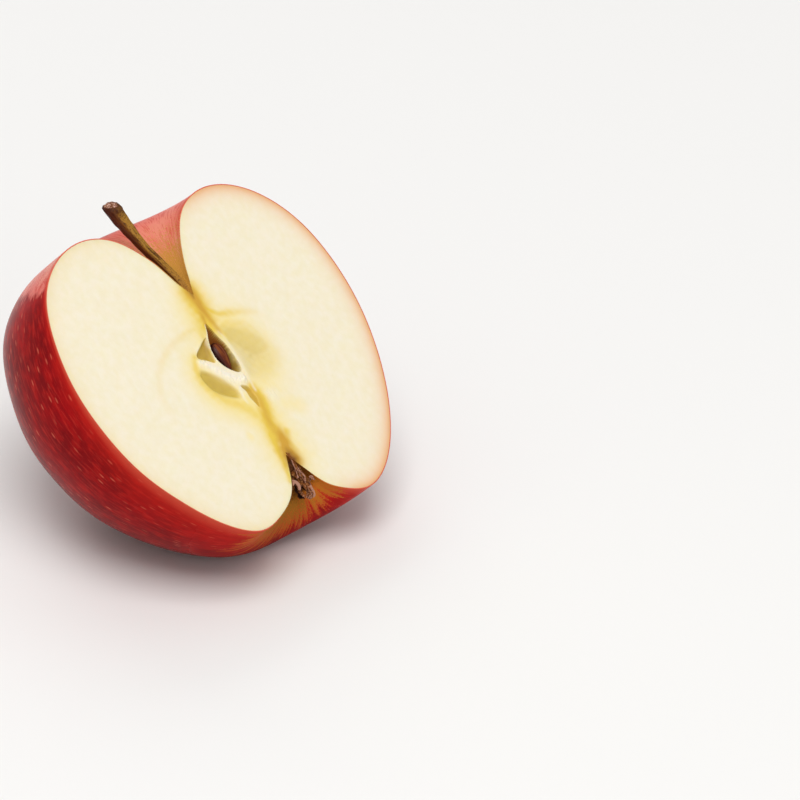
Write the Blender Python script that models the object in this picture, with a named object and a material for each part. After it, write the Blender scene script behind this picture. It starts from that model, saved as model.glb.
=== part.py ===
"""Half an apple, cut lengthwise through the core, lying on its rounded back with the cut face up.

The fruit is worked out along its own directions. V runs across the cut face towards the right lobe, U runs along
the core towards the stem, and W comes straight out of the cut face, which is the plane W = 0. The middle of the
core is where they meet. Lengths below are in millimetres, and MM turns them into metres.
The half is then turned the way it lies and set on its flat spot: +Z is up, and the origin is the middle of the
underside of its box.
"""

import math

import bmesh
import bpy
import numpy as np
from mathutils import Matrix, Vector

MM = 0.001

# How the half lies: degrees about U, then V, then Z
ROLL = 9.5
PITCH = 40.2
HEADING = 46.7
FLAT_DEPTH = 2.5

# The section through the core. Each feature has its distance from the core line and its height along U,
# first on the left lobe and then on the right lobe.
SECTION = {
    "stem seat": (0.0, 13.6, 0.0, 13.6),
    "cavity foot": (2.3, 16.6, 1.6, 18.6),
    "cavity wall": (4.6, 20.9, 3.3, 22.5),
    "cavity lip": (7.2, 24.3, 5.7, 26.4),
    "inner brow": (11.2, 27.9, 9.4, 30.0),
    "crown": (17.5, 30.0, 16.0, 32.3),
    "outer brow": (25.4, 29.0, 24.0, 31.3),
    "shoulder": (32.4, 24.9, 31.6, 26.5),
    "upper flank": (37.1, 18.6, 37.3, 17.9),
    "girth": (40.3, 6.5, 39.5, 5.5),
    "lower flank": (39.6, -4.2, 38.2, -5.2),
    "hip": (36.3, -14.1, 34.6, -15.2),
    "lower hip": (30.6, -22.3, 29.0, -24.1),
    "heel": (23.6, -29.1, 22.4, -30.2),
    "foot": (16.0, -32.7, 16.0, -32.6),
    "basin brow": (10.0, -31.8, 10.6, -31.6),
    "basin lip": (6.2, -29.2, 6.4, -28.5),
    "basin wall": (3.4, -26.0, 3.7, -24.6),
    "calyx seat": (0.0, -22.0, 0.0, -20.6),
}
SECTION_STEPS = 74
ROUND_STEPS = 38

# The back of the crown stands higher than the two lobes, and five soft ribs run into the calyx basin
CROWN_LIFT = 2.5
CROWN_FROM = 2.0
CROWN_TO = 30.0
CROWN_EASE = 1.5
RIB_COUNT = 5
RIB_DEPTH = 0.45
RIB_LEVEL = 33.0
RIB_EASE = 2.0
RIB_INNER = 6.0

# Hollows that the cut opens in the core. Each has the rim as (V, U) points on the cut face, and its depth.
HOLLOWS = {
    "seed chamber": (
        [(-1.2, 7.2), (-2.7, 3.9), (-3.8, 1.1), (-2.9, -1.0), (-1.2, -2.5), (0.5, -3.3), (1.2, -1.2), (0.7, 3.6)],
        3.6,
    ),
    "upper pocket": ([(-3.2, 4.9), (-6.0, 3.6), (-7.6, 1.9), (-6.6, 1.0), (-4.9, 0.7), (-4.3, 1.6)], 1.6),
    "lower pocket": (
        [(-8.5, -0.3), (-9.3, -1.9), (-8.5, -3.8), (-6.9, -5.6), (-3.3, -8.1), (-3.0, -6.0), (-5.4, -2.9)],
        2.2,
    ),
    "small slot": ([(-1.3, -6.0), (0.5, -6.4), (1.0, -8.1), (0.3, -11.0), (-0.9, -8.5)], 1.4),
    "right chamber wall": (
        [(2.0, 6.2), (6.8, 4.4), (10.4, 2.2), (11.7, -0.4), (10.6, -3.2), (7.0, -5.8), (2.2, -6.6), (1.9, 0.0)],
        0.9,
    ),
}
HOLLOW_SIDES = 28
HOLLOW_RINGS = 4
HOLLOW_SQUARENESS = 3.0
CUT_ABOVE = 1.2

# The stem: (V, U, W) of its line from foot to broken tip, with its radius at each point
STEM = (
    (-0.1, 12.7, -1.0, 0.80),
    (-0.6, 16.6, -1.2, 0.88),
    (-1.8, 22.0, -1.6, 0.90),
    (-3.1, 27.2, -1.9, 0.95),
    (-4.1, 30.8, -2.2, 1.15),
    (-4.8, 33.4, -2.4, 1.70),
    (-5.1, 34.6, -2.5, 1.75),
)
STEM_SIDES = 12
STEM_STEPS = 22
STEM_DOME = 0.35

# The seed: a flattened drop whose narrow end points to the calyx
SEED_MIDDLE = (-0.85, 0.9, -1.75)
SEED_LENGTH = 6.2
SEED_WIDTH = 3.0
SEED_THICKNESS = 2.2
SEED_TAPER = 0.34
SEED_LEAN = 6.0
SEED_RINGS = 10
SEED_SIDES = 14

# The dried calyx: a woody heart, and sepals that run from it to these tips through these bends
CALYX_HEART = (0.5, -23.2, -1.5)
CALYX_RADIUS = 1.5
SEPAL_WIDTH = 0.95
SEPAL_THICKNESS = 0.34
SEPAL_NARROWING = 0.72
SEPAL_THINNING = 0.3
SEPAL_BELLY = 1.6
SEPALS = {
    "long": ((1.5, -26.4, -2.6), (1.7, -29.0, -1.6)),
    "right": ((2.1, -25.4, -1.3), (3.5, -26.6, -0.6)),
    "near": ((-0.5, -25.2, -1.0), (-1.4, -26.4, -0.4)),
    "middle": ((2.2, -26.2, -1.1), (3.0, -28.3, -1.3)),
    "back": ((0.7, -25.9, -2.6), (-0.4, -27.9, -3.2)),
}
SEPAL_SIDES = 8
SEPAL_STEPS = 7

# Room left between pieces that touch, and the angle from which an edge is drawn sharp
GAP = 0.35
SHARP_ANGLE = 40.0

SKIN_RED = (0.33, 0.024, 0.024, 1.0)
STEM_BROWN = (0.20, 0.10, 0.04, 1.0)
SEED_BROWN = (0.10, 0.024, 0.012, 1.0)
CALYX_BROWN = (0.16, 0.08, 0.05, 1.0)


def clear_scene():
    """Removes whatever the file starts with."""
    for obj in list(bpy.data.objects):
        bpy.data.objects.remove(obj, do_unlink=True)


def make_material(name, colour, roughness):
    """A plain Principled finish of one colour."""
    material = bpy.data.materials.new(name)
    material.use_nodes = True
    shader = material.node_tree.nodes["Principled BSDF"]
    shader.inputs["Base Color"].default_value = colour
    shader.inputs["Roughness"].default_value = roughness
    shader.inputs["Metallic"].default_value = 0.0
    return material


def curve_through(points, count):
    """Count + 1 points along the natural cubic spline that passes through the given points."""
    points = np.asarray(points, float)
    steps = np.sqrt(np.linalg.norm(np.diff(points, axis=0), axis=1))
    knots = np.concatenate([[0.0], np.cumsum(steps)])
    system = np.eye(len(points))
    right_side = np.zeros_like(points)
    for i in range(1, len(points) - 1):
        before = steps[i - 1]
        after = steps[i]
        system[i, i - 1 : i + 2] = (before, 2.0 * (before + after), after)
        rise = (points[i + 1] - points[i]) / after - (points[i] - points[i - 1]) / before
        right_side[i] = 6.0 * rise
    bend = np.linalg.solve(system, right_side)
    at = np.linspace(0.0, knots[-1], count + 1)
    i = np.clip(np.searchsorted(knots, at, side="right") - 1, 0, len(steps) - 1)
    span = steps[i][:, None]
    past = (at - knots[i])[:, None]
    left = span - past
    ends = bend[i] * left**3 + bend[i + 1] * past**3
    low = points[i] / span - bend[i] * span / 6.0
    high = points[i + 1] / span - bend[i + 1] * span / 6.0
    return ends / (6.0 * span) + low * left + high * past


def closed_curve_through(points, count):
    """Count points round a smooth closed curve through the given points."""
    thrice = curve_through(points * 3 + points[:1], 3 * count)
    return thrice[count : 2 * count]


def skin_points():
    """The skin as an array over the section from stem to calyx and the half turn from the right lobe to the left.

    Radius and height are those of the right lobe at one end of the turn and of the left lobe at the other, mixed
    by the cosine of the turn. The crown's lift and the ribs are nothing at both lobes, so the cut keeps its shape.
    """
    section = np.array(list(SECTION.values()))
    left = curve_through(section[:, :2], SECTION_STEPS)[:, None]
    right = curve_through(section[:, 2:], SECTION_STEPS)[:, None]
    turn = np.linspace(0.0, math.pi, ROUND_STEPS + 1)[None, :]
    to_right = (1.0 + np.cos(turn)) / 2.0
    radius = right[..., 0] * to_right + left[..., 0] * (1.0 - to_right)
    height = right[..., 1] * to_right + left[..., 1] * (1.0 - to_right)
    crown = np.clip((height - CROWN_FROM) / (CROWN_TO - CROWN_FROM), 0.0, 1.0) ** CROWN_EASE
    basin = np.clip(-height / RIB_LEVEL, 0.0, 1.0) ** RIB_EASE * np.clip(radius / RIB_INNER, 0.0, 1.0)
    radius = radius + RIB_DEPTH * np.sin(RIB_COUNT * turn) * basin
    height = height + CROWN_LIFT * crown * np.sin(turn) ** 2
    return np.stack([radius * np.cos(turn), height, -radius * np.sin(turn)], axis=-1)


def mesh_object(name, mesh_builder, material=None):
    """A new object whose mesh is the builder's, in metres, with its normals facing out."""
    bmesh.ops.remove_doubles(mesh_builder, verts=mesh_builder.verts, dist=1e-4)
    bmesh.ops.recalc_face_normals(mesh_builder, faces=mesh_builder.faces)
    bmesh.ops.scale(mesh_builder, vec=(MM, MM, MM), verts=mesh_builder.verts)
    mesh = bpy.data.meshes.new(name)
    mesh_builder.to_mesh(mesh)
    mesh_builder.free()
    obj = bpy.data.objects.new(name, mesh)
    bpy.context.scene.collection.objects.link(obj)
    if material is not None:
        mesh.materials.append(material)
        mesh.shade_smooth()
        mesh.set_sharp_from_angle(angle=math.radians(SHARP_ANGLE))
    return obj


def rows_of_verts(mesh_builder, grid):
    """Vertices of a grid of points, as a list of rows."""
    return [[mesh_builder.verts.new(point) for point in row] for row in grid]


def bridge_rows(mesh_builder, rows, closed):
    """Quads between neighbouring rows, joined end to end when the rows are rings."""
    for lower, upper in zip(rows[:-1], rows[1:]):
        last = len(lower) if closed else len(lower) - 1
        for i in range(last):
            j = (i + 1) % len(lower)
            mesh_builder.faces.new((lower[i], lower[j], upper[j], upper[i]))


def fan_to_point(mesh_builder, point, row, closed):
    """Triangles from one point to a row or a ring."""
    tip = mesh_builder.verts.new(point)
    last = len(row) if closed else len(row) - 1
    for i in range(last):
        mesh_builder.faces.new((tip, row[i], row[(i + 1) % len(row)]))
    return tip


def cut_flat_spot(mesh_builder, turn):
    """Slices the lowest part of the rounded back off, level with the ground once the half is turned."""
    down = turn.inverted() @ Vector((0.0, 0.0, -1.0))
    lowest = max(vert.co.dot(down) for vert in mesh_builder.verts)
    everything = mesh_builder.verts[:] + mesh_builder.edges[:] + mesh_builder.faces[:]
    bmesh.ops.bisect_plane(
        mesh_builder,
        geom=everything,
        dist=1e-5,
        plane_co=down * (lowest - FLAT_DEPTH),
        plane_no=down,
        clear_outer=True,
    )
    rim = [edge for edge in mesh_builder.edges if edge.is_boundary]
    bmesh.ops.holes_fill(mesh_builder, edges=rim, sides=0)


def make_half(material, turn):
    """The flesh in its skin: the rounded skin, closed by the cut face and by the flat spot."""
    grid = skin_points()
    half = bmesh.new()
    rows = rows_of_verts(half, grid[1:-1])
    bridge_rows(half, rows, closed=False)
    stem_seat = fan_to_point(half, grid[0, 0], rows[0], closed=False)
    calyx_seat = fan_to_point(half, grid[-1, 0], rows[-1], closed=False)
    right_rim = [row[0] for row in rows]
    left_rim = [row[-1] for row in rows]
    half.faces.new([stem_seat] + right_rim + [calyx_seat] + left_rim[::-1])
    cut_flat_spot(half, turn)
    return mesh_object("apple_half", half, material)


def hollow_cutter(name, rim, depth):
    """A bowl with the rim's outline: its rings shrink towards the middle as they go down, slowly and then fast."""
    outline = closed_curve_through(rim, HOLLOW_SIDES)
    middle = outline.mean(axis=0)
    bowl = bmesh.new()
    rings = []
    for ring in range(HOLLOW_RINGS):
        share = ring / HOLLOW_RINGS
        size = (1.0 - share**HOLLOW_SQUARENESS) ** (1.0 / HOLLOW_SQUARENESS)
        level = -depth * share if ring else CUT_ABOVE
        flat = middle + (outline - middle) * size
        rings.append([(point[0], point[1], level) for point in flat])
    rows = rows_of_verts(bowl, rings)
    bridge_rows(bowl, rows, closed=True)
    fan_to_point(bowl, (middle[0], middle[1], CUT_ABOVE), rows[0], closed=True)
    fan_to_point(bowl, (middle[0], middle[1], -depth), rows[-1], closed=True)
    return mesh_object(f"cutter {name}", bowl)


def tube(line, sides, across, along):
    """Rings round a line. Across and along are each ring's two half-widths, along lying nearest to U and W."""
    line = np.asarray(line, float)
    heading = np.gradient(line, axis=0)
    heading /= np.linalg.norm(heading, axis=1)[:, None]
    side = np.cross(heading, (0.0, 0.0, 1.0))
    side /= np.linalg.norm(side, axis=1)[:, None]
    face = np.cross(side, heading)
    angle = np.linspace(0.0, 2.0 * math.pi, sides, endpoint=False)[None, :, None]
    across = np.asarray(across, float)[:, None, None]
    along = np.asarray(along, float)[:, None, None]
    return line[:, None] + side[:, None] * across * np.cos(angle) + face[:, None] * along * np.sin(angle)


def closed_tube(name, rings, start, end, material=None):
    """A closed solid from a tube's rings, shut by a low point at each end."""
    solid = bmesh.new()
    rows = rows_of_verts(solid, rings)
    bridge_rows(solid, rows, closed=True)
    fan_to_point(solid, start, rows[0], closed=True)
    fan_to_point(solid, end, rows[-1], closed=True)
    return mesh_object(name, solid, material)


def make_stem(name, material, extra):
    """The stem, or the room that it takes up in the flesh where its radius has something extra."""
    line = curve_through([point[:3] for point in STEM], STEM_STEPS)
    radius = curve_through([(point[3], 0.0) for point in STEM], STEM_STEPS)[:, 0] + extra
    rings = tube(line, STEM_SIDES, radius, radius)
    first = line[0] - line[1]
    last = line[-1] - line[-2]
    foot = line[0] + first / np.linalg.norm(first) * (STEM_DOME + 2.0 * extra)
    tip = line[-1] + last / np.linalg.norm(last) * STEM_DOME
    return closed_tube(name, rings, foot, tip, material)


def make_seed(material):
    """The seed: an ellipsoid that narrows along its length, leant a little across the core line."""
    along = np.cos(np.linspace(0.0, math.pi, SEED_RINGS + 1)[1:-1])[:, None]
    angle = np.linspace(0.0, 2.0 * math.pi, SEED_SIDES, endpoint=False)[None, :]
    size = np.sqrt(1.0 - along**2) * (1.0 + SEED_TAPER * along)
    v = SEED_WIDTH / 2.0 * size * np.cos(angle)
    u = SEED_LENGTH / 2.0 * along + 0.0 * angle
    w = SEED_THICKNESS / 2.0 * size * np.sin(angle)
    lean = math.radians(SEED_LEAN)
    grid = np.stack([v * math.cos(lean) - u * math.sin(lean), v * math.sin(lean) + u * math.cos(lean), w], axis=-1)
    middle = np.array(SEED_MIDDLE)
    end = np.array((-math.sin(lean), math.cos(lean), 0.0)) * SEED_LENGTH / 2.0
    return closed_tube("seed", grid + middle, middle + end, middle - end, material)


def make_sepal(name, bend, tip):
    """One dried sepal: a flat blade from the heart through its bend to a narrow tip."""
    line = curve_through([CALYX_HEART, bend, tip], SEPAL_STEPS)
    share = np.linspace(0.0, 1.0, SEPAL_STEPS + 1)
    width = SEPAL_WIDTH * (1.0 - SEPAL_NARROWING * share**SEPAL_BELLY)
    thickness = SEPAL_THICKNESS * (1.0 - SEPAL_THINNING * share)
    rings = tube(line, SEPAL_SIDES, width, thickness)
    return closed_tube(name, rings, line[0], line[-1] + (line[-1] - line[-2]) * SEPAL_THINNING)


def ball(name, middle, radius, material=None):
    """A round lump of an icosphere."""
    lump = bmesh.new()
    bmesh.ops.create_icosphere(lump, subdivisions=2, radius=radius, matrix=Matrix.Translation(middle))
    return mesh_object(name, lump, material)


def hide_cutter(obj):
    """Keeps a helper out of the finished model."""
    obj.hide_render = True
    obj.display_type = "WIRE"


def cut(target, cutter):
    """Takes the cutter's shape out of the target."""
    hide_cutter(cutter)
    modifier = target.modifiers.new(cutter.name, "BOOLEAN")
    modifier.operation = "DIFFERENCE"
    modifier.solver = "EXACT"
    modifier.object = cutter


def make_calyx(material):
    """The dried calyx as one solid: the heart with every sepal joined to it."""
    heart = ball("calyx", CALYX_HEART, CALYX_RADIUS, material)
    blades = bpy.data.collections.new("sepals")
    for name, (bend, tip) in SEPALS.items():
        blade = make_sepal(f"sepal {name}", bend, tip)
        hide_cutter(blade)
        bpy.context.scene.collection.objects.unlink(blade)
        blades.objects.link(blade)
    bpy.context.scene.collection.children.link(blades)
    join = heart.modifiers.new("sepals", "BOOLEAN")
    join.operation = "UNION"
    join.solver = "EXACT"
    join.operand_type = "COLLECTION"
    join.collection = blades
    return heart


def stand_on_ground(objects, turn):
    """Turns every object the way the half lies and sets the box's bottom centre on the origin."""
    bpy.context.view_layer.update()
    graph = bpy.context.evaluated_depsgraph_get()
    points = []
    for obj in objects:
        evaluated = obj.evaluated_get(graph)
        points += [turn @ vert.co for vert in evaluated.data.vertices]
    low = Vector(min(point[i] for point in points) for i in range(3))
    high = Vector(max(point[i] for point in points) for i in range(3))
    shift = Vector(((low.x + high.x) / 2.0, (low.y + high.y) / 2.0, low.z))
    place = Matrix.Translation(-shift) @ turn
    for obj in bpy.data.objects:
        obj.matrix_world = place


def lying_turn():
    """The turn from the fruit's own directions to the way it lies."""
    about_core = Matrix.Rotation(math.radians(ROLL), 4, "Y")
    lift_stem = Matrix.Rotation(math.radians(PITCH), 4, "X")
    face_round = Matrix.Rotation(math.radians(HEADING), 4, "Z")
    return face_round @ lift_stem @ about_core


def main():
    """Builds the half, its stem, its seed and its calyx."""
    clear_scene()
    turn = lying_turn()
    half = make_half(make_material("apple skin", SKIN_RED, 0.35), turn)
    for name, (rim, depth) in HOLLOWS.items():
        cut(half, hollow_cutter(name, rim, depth))
    cut(half, make_stem("cutter stem socket", None, GAP))
    cut(half, ball("cutter calyx socket", CALYX_HEART, CALYX_RADIUS + GAP))
    stem = make_stem("stem", make_material("stem wood", STEM_BROWN, 0.6), 0.0)
    seed = make_seed(make_material("seed coat", SEED_BROWN, 0.3))
    calyx = make_calyx(make_material("dried calyx", CALYX_BROWN, 0.8))
    stand_on_ground([half, stem, seed, calyx], turn)


if __name__ == "__main__":
    main()
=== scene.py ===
"""The looks of half an apple: waxed crimson skin round moist cream flesh, a stem, a seed and a dried calyx.

The fruit is worked out along its own directions, in millimetres. V runs across the cut face towards the
right lobe, U runs along the core towards the stem, and W comes straight out of the cut face, where W = 0. The
middle of the core is where they meet. Fruit.place turns such points the way the half lies, in metres.
"""

import logging
import math
from dataclasses import dataclass, field, replace
from enum import Enum
from typing import Any

import bmesh
import bpy
import numpy as np
from mathutils import Matrix, Vector


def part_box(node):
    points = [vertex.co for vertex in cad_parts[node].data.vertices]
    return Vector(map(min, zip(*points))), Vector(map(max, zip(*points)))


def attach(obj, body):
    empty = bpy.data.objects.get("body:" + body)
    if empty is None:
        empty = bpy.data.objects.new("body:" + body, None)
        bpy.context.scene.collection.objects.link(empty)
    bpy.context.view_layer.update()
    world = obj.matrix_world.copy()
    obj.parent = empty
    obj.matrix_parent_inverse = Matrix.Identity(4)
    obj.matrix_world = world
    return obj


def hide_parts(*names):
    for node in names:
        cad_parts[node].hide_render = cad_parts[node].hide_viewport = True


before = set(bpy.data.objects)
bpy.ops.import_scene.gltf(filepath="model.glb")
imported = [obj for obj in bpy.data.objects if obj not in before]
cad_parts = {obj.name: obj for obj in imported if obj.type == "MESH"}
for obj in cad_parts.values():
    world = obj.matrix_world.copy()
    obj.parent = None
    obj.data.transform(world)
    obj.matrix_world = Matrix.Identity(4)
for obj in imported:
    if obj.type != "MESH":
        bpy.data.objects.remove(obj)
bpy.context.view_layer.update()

log = logging.getLogger("apple half")

MM = 0.001
BODY = "root"

# Points closer than this, in millimetres, are one point of a piece
WELD = 1e-4
# A coordinate of the flesh that is smaller than this is made nought, so that its patches meet
NEAR_ZERO = WELD / 10.0
# An edge at which the surface turns by more than this many degrees is drawn sharp
SHARP_ANGLE = 42.0

# Sockets of the Mix node when it mixes colours, and how much fine detail each noise has
MIX_FACTOR, MIX_FIRST, MIX_SECOND, MIX_COLOUR = 0, 6, 7, 2
NOISE_DETAIL = 2.5

# How many waves a ripple has, and how far their sizes lie apart
RIPPLE_WAVES = 8
RIPPLE_SPREAD = (0.6, 1.4)

Array = np.ndarray
Point = tuple[float, float]
Place = tuple[float, float, float]
Settings = tuple[tuple[str, Any], ...]
Sockets = dict[str, bpy.types.NodeSocket]


class Stain(Enum):
    """What the cut face is painted with, from the first coat to the last, and its colour."""

    BLUSH = "e78f6c"
    RIND = "ead98a"
    GLOW = "f0dc92"
    YELLOW = "e5c650"
    OLIVE = "cbae46"
    ORANGE = "cf9f3a"
    # Painted shade in the hollows, darker with their depth
    HOLLOW_SHADE = "94692a"
    BROWN = "74421a"
    PAPER = "efe6d0"
    # Painted shadow: brown at the top of the seed slit
    SLIT_SHADOW = "a05c22"


class Lobe(Enum):
    """The two halves of the cut face, with the turn about the core at which the rim of each lies."""

    RIGHT = 0.0
    LEFT = math.pi


def linear(colour: str) -> tuple[float, float, float, float]:
    """Turns an sRGB hex colour into linear light.

    Each channel c is c / 12.92 up to 0.04045, and ((c + 0.055) / 1.055) to the power 2.4 above it.

    Args:
        colour: Six hex digits.

    Returns:
        Red, green, blue and an alpha of one.
    """
    channels = np.array([int(colour[i : i + 2], 16) / 255.0 for i in (0, 2, 4)])
    light = np.where(channels <= 0.04045, channels / 12.92, ((channels + 0.055) / 1.055) ** 2.4)
    return (*light.tolist(), 1.0)


def smooth(low: Array | float, high: Array | float, value: Array) -> Array:
    """Rises from 0 at low to 1 at high along 3x^2 - 2x^3, where x is how far value has come."""
    share = np.clip((value - low) / (high - low), 0.0, 1.0)
    return share * share * (3.0 - 2.0 * share)


def between(ends: Point, share: Array) -> Array:
    """Goes evenly from the first end, where the share is 0, to the second, where it is 1."""
    return ends[0] + (ends[1] - ends[0]) * share


def full_turn(sides: int) -> Array:
    """The angles of one turn, in a single row whose last angle is the first again."""
    return np.linspace(0.0, 2.0 * math.pi, sides + 1)[None, :]


def closed(rings: Array) -> Array:
    """Closes rings between two poles.

    The last point of each ring is made its first, and all points of the first and the last ring are made one.

    Args:
        rings: The points, ring by ring.

    Returns:
        The same points, closed.
    """
    rings[:, -1] = rings[:, 0]
    rings[[0, -1]] = rings[[0, -1], :1]
    return rings


def curve_at(points: Any, shares: Array) -> Array:
    """Points of the natural cubic spline through the given points.

    A step between neighbouring points counts as the square root of its length. In each step the curve is the
    straight line between its ends plus the two end bends times the cubes of the distances from the other end.

    Args:
        points: The points that the curve passes through, one in each row.
        shares: How far along the curve each wanted point is, from 0 to 1.

    Returns:
        One point for each share.
    """
    points = np.asarray(points, float)
    steps = np.sqrt(np.linalg.norm(np.diff(points, axis=0), axis=1))
    knots = np.concatenate([[0.0], np.cumsum(steps)])
    slopes = np.diff(points, axis=0) / steps[:, None]
    system = np.diag(np.concatenate([[1.0], 2.0 * (steps[:-1] + steps[1:]), [1.0]]))
    system += np.diag(np.concatenate([steps[:-1], [0.0]]), -1)
    system += np.diag(np.concatenate([[0.0], steps[1:]]), 1)
    bend = np.linalg.solve(system, np.pad(6.0 * np.diff(slopes, axis=0), ((1, 1), (0, 0))))
    at = shares * knots[-1]
    i = np.clip(np.searchsorted(knots, at, side="right") - 1, 0, len(steps) - 1)
    span = steps[i][:, None]
    past = (at - knots[i])[:, None]
    left = span - past
    ends = bend[i] * left**3 + bend[i + 1] * past**3
    low = points[i] / span - bend[i] * span / 6.0
    high = points[i + 1] / span - bend[i + 1] * span / 6.0
    return ends / (6.0 * span) + low * left + high * past


def ring_frame(line: Array) -> tuple[Array, Array, Array]:
    """Three directions at each point of a line, from cross products with the way out of the cut face.

    Args:
        line: The points of the line.

    Returns:
        The way along it, the way across it near the cut face, and the way out of that face.
    """
    heading = np.gradient(line, axis=0)
    heading /= np.linalg.norm(heading, axis=1)[:, None]
    side = np.cross(heading, (0.0, 0.0, 1.0))
    side /= np.linalg.norm(side, axis=1)[:, None]
    return heading, side, np.cross(side, heading)


@dataclass(frozen=True)
class Ripple:
    """Uneven waves, mostly no higher than their height, of about one size in the unit of the points."""

    height: float
    size: float
    seed: int

    def at(self, points: Array) -> Array:
        """The height times twice the mean of sine waves, each of which runs its own way from its own start.

        Args:
            points: Points of two or three coordinates.

        Returns:
            How high the waves are at each point.
        """
        draw = np.random.default_rng(self.seed)
        ways = draw.normal(size=(RIPPLE_WAVES, points.shape[-1]))
        turns = 2.0 * math.pi / self.size * draw.uniform(*RIPPLE_SPREAD, (RIPPLE_WAVES, 1))
        ways *= turns / np.linalg.norm(ways, axis=1, keepdims=True)
        starts = draw.uniform(0.0, 2.0 * math.pi, RIPPLE_WAVES)
        return self.height * 2.0 * np.sin(points @ ways.T + starts).mean(axis=-1)


@dataclass(frozen=True)
class Wave:
    """A sine wave over two numbers: its height, how fast it runs with each of them, and where it starts."""

    height: float
    first: float
    second: float
    start: float = 0.0

    def at(self, first: Array | float, second: Array | float) -> Array:
        """The height times the sine of the start plus each number times how fast the wave runs with it."""
        return self.height * np.sin(self.first * first + self.second * second + self.start)


@dataclass(frozen=True)
class Fruit:
    """The apple's form and the way that the half lies."""

    # How the half lies, in degrees
    roll: float = 9.5
    pitch: float = 40.2
    heading: float = 46.7
    # The section through the core, from the stem seat to the calyx seat: the distance from the core line and
    # the height along U, first on the left lobe and then on the right lobe
    section: tuple[tuple[float, float, float, float], ...] = (
        (0.0, 13.6, 0.0, 13.6),
        (2.3, 16.6, 1.6, 18.6),
        (4.6, 20.9, 3.3, 22.5),
        (7.2, 24.3, 5.7, 26.4),
        (11.2, 27.9, 9.4, 30.0),
        (17.5, 30.0, 16.0, 32.3),
        (25.4, 29.0, 24.0, 31.3),
        (32.4, 24.9, 31.6, 26.5),
        (37.1, 18.6, 37.3, 17.9),
        (40.3, 6.5, 39.5, 5.5),
        (39.6, -4.2, 38.2, -5.2),
        (36.3, -14.1, 34.6, -15.2),
        (30.6, -22.3, 29.0, -24.1),
        (23.6, -29.1, 22.4, -30.2),
        (16.0, -32.7, 16.0, -32.6),
        (10.0, -31.8, 10.6, -31.6),
        (5.0, -29.4, 5.9, -29.1),
        (2.2, -26.4, 3.0, -25.6),
        (0.0, -21.3, 0.0, -21.3),
    )
    # How much the crown is raised at the back, and between which heights
    crown_lift: float = 2.5
    crown_from: float = 2.0
    crown_to: float = 30.0
    crown_ease: float = 1.5
    # The ribs round the calyx: they grow down to their level, and from the core line to their inner radius
    rib_count: int = 5
    rib_depth: float = 0.45
    rib_level: float = 33.0
    rib_ease: float = 2.0
    rib_inner: float = 6.0
    # Within this radius the surface's normal turns to the core line
    seat_radius: float = 1.5
    # The radius at the widest, by which the skin is laid flat
    widest: float = 39.5
    # The grid of points whose highest corner is that of the CAD node
    cad_rows: int = 74
    cad_columns: int = 38

    def surface(self, shares: Array, turn: Array, depth: Array | float = 0.0) -> Array:
        """The skin, or a surface at some depth under it.

        Radius and height are those of the right lobe at one end of the half turn and of the left lobe at the
        other, mixed by (1 + cos turn) / 2. The crown is lifted by the square of sin turn and the ribs follow
        sin 5 turn, so both vanish on the cut. The depth is taken along the normal in the plane of the core,
        which turns to the core line itself at the two seats.

        Args:
            shares: How far from the stem seat to the calyx seat each row is, from 0 to 1.
            turn: The angle of each column about the core, from 0 at the right lobe to pi at the left lobe.
            depth: How far under the skin, in millimetres, for all points or for each.

        Returns:
            Rows by columns by (V, U, W), in millimetres.
        """
        section = np.array(self.section)
        left = curve_at(section[:, :2], shares)[:, None]
        right = curve_at(section[:, 2:], shares)[:, None]
        to_right = ((1.0 + np.cos(turn)) / 2.0)[None, :, None]
        radius, height = np.moveaxis(right * to_right + left * (1.0 - to_right), -1, 0)
        crown = np.clip((height - self.crown_from) / (self.crown_to - self.crown_from), 0.0, 1.0)
        basin = np.clip(-height / self.rib_level, 0.0, 1.0) ** self.rib_ease
        basin *= np.clip(radius / self.rib_inner, 0.0, 1.0)
        radius = radius + self.rib_depth * np.sin(self.rib_count * turn) * basin
        height = height + self.crown_lift * crown**self.crown_ease * np.sin(turn) ** 2
        out_radius = -np.gradient(height, axis=0)
        out_height = np.gradient(radius, axis=0)
        length = np.hypot(out_radius, out_height)
        away = smooth(0.0, self.seat_radius, radius)
        out_radius = out_radius / length * away
        out_height = out_height / length * away + np.sign(height) * (1.0 - away)
        length = np.hypot(out_radius, out_height)
        radius = radius - depth * out_radius / length
        height = height - depth * out_height / length
        return np.stack([radius * np.cos(turn), height, -radius * np.sin(turn)], axis=-1)

    def outline(self, shares: Array, lobe: Lobe, depth: float) -> Array:
        """The edge of a lobe of the cut face at some depth under the skin, as (V, U) points."""
        return self.surface(shares, np.array([lobe.value]), depth)[:, 0, :2]

    def turned(self, points: Array) -> Array:
        """Turns points the way the half lies: about U by the roll, V by the pitch, then Z by the heading.

        Args:
            points: Points in millimetres along the fruit's own directions.

        Returns:
            The turned points, in metres from the middle of the core.
        """
        heading = Matrix.Rotation(math.radians(self.heading), 3, "Z")
        pitch = Matrix.Rotation(math.radians(self.pitch), 3, "X")
        roll = Matrix.Rotation(math.radians(self.roll), 3, "Y")
        return points @ np.array(heading @ pitch @ roll).T * MM

    def core(self) -> Array:
        """Finds the middle of the core: what brings the highest corner of the skin onto the CAD node's.

        Returns:
            The place, in metres.
        """
        shares = np.linspace(0.0, 1.0, self.cad_rows + 1)
        turn = np.linspace(0.0, math.pi, self.cad_columns + 1)
        skin = self.turned(self.surface(shares, turn)).reshape(-1, 3)
        return np.array(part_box("apple_half")[1]) - skin.max(axis=0)

    def place(self, points: Array) -> Array:
        """Points in millimetres along the fruit's own directions, as places in metres."""
        return self.turned(points) + self.core()


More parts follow.
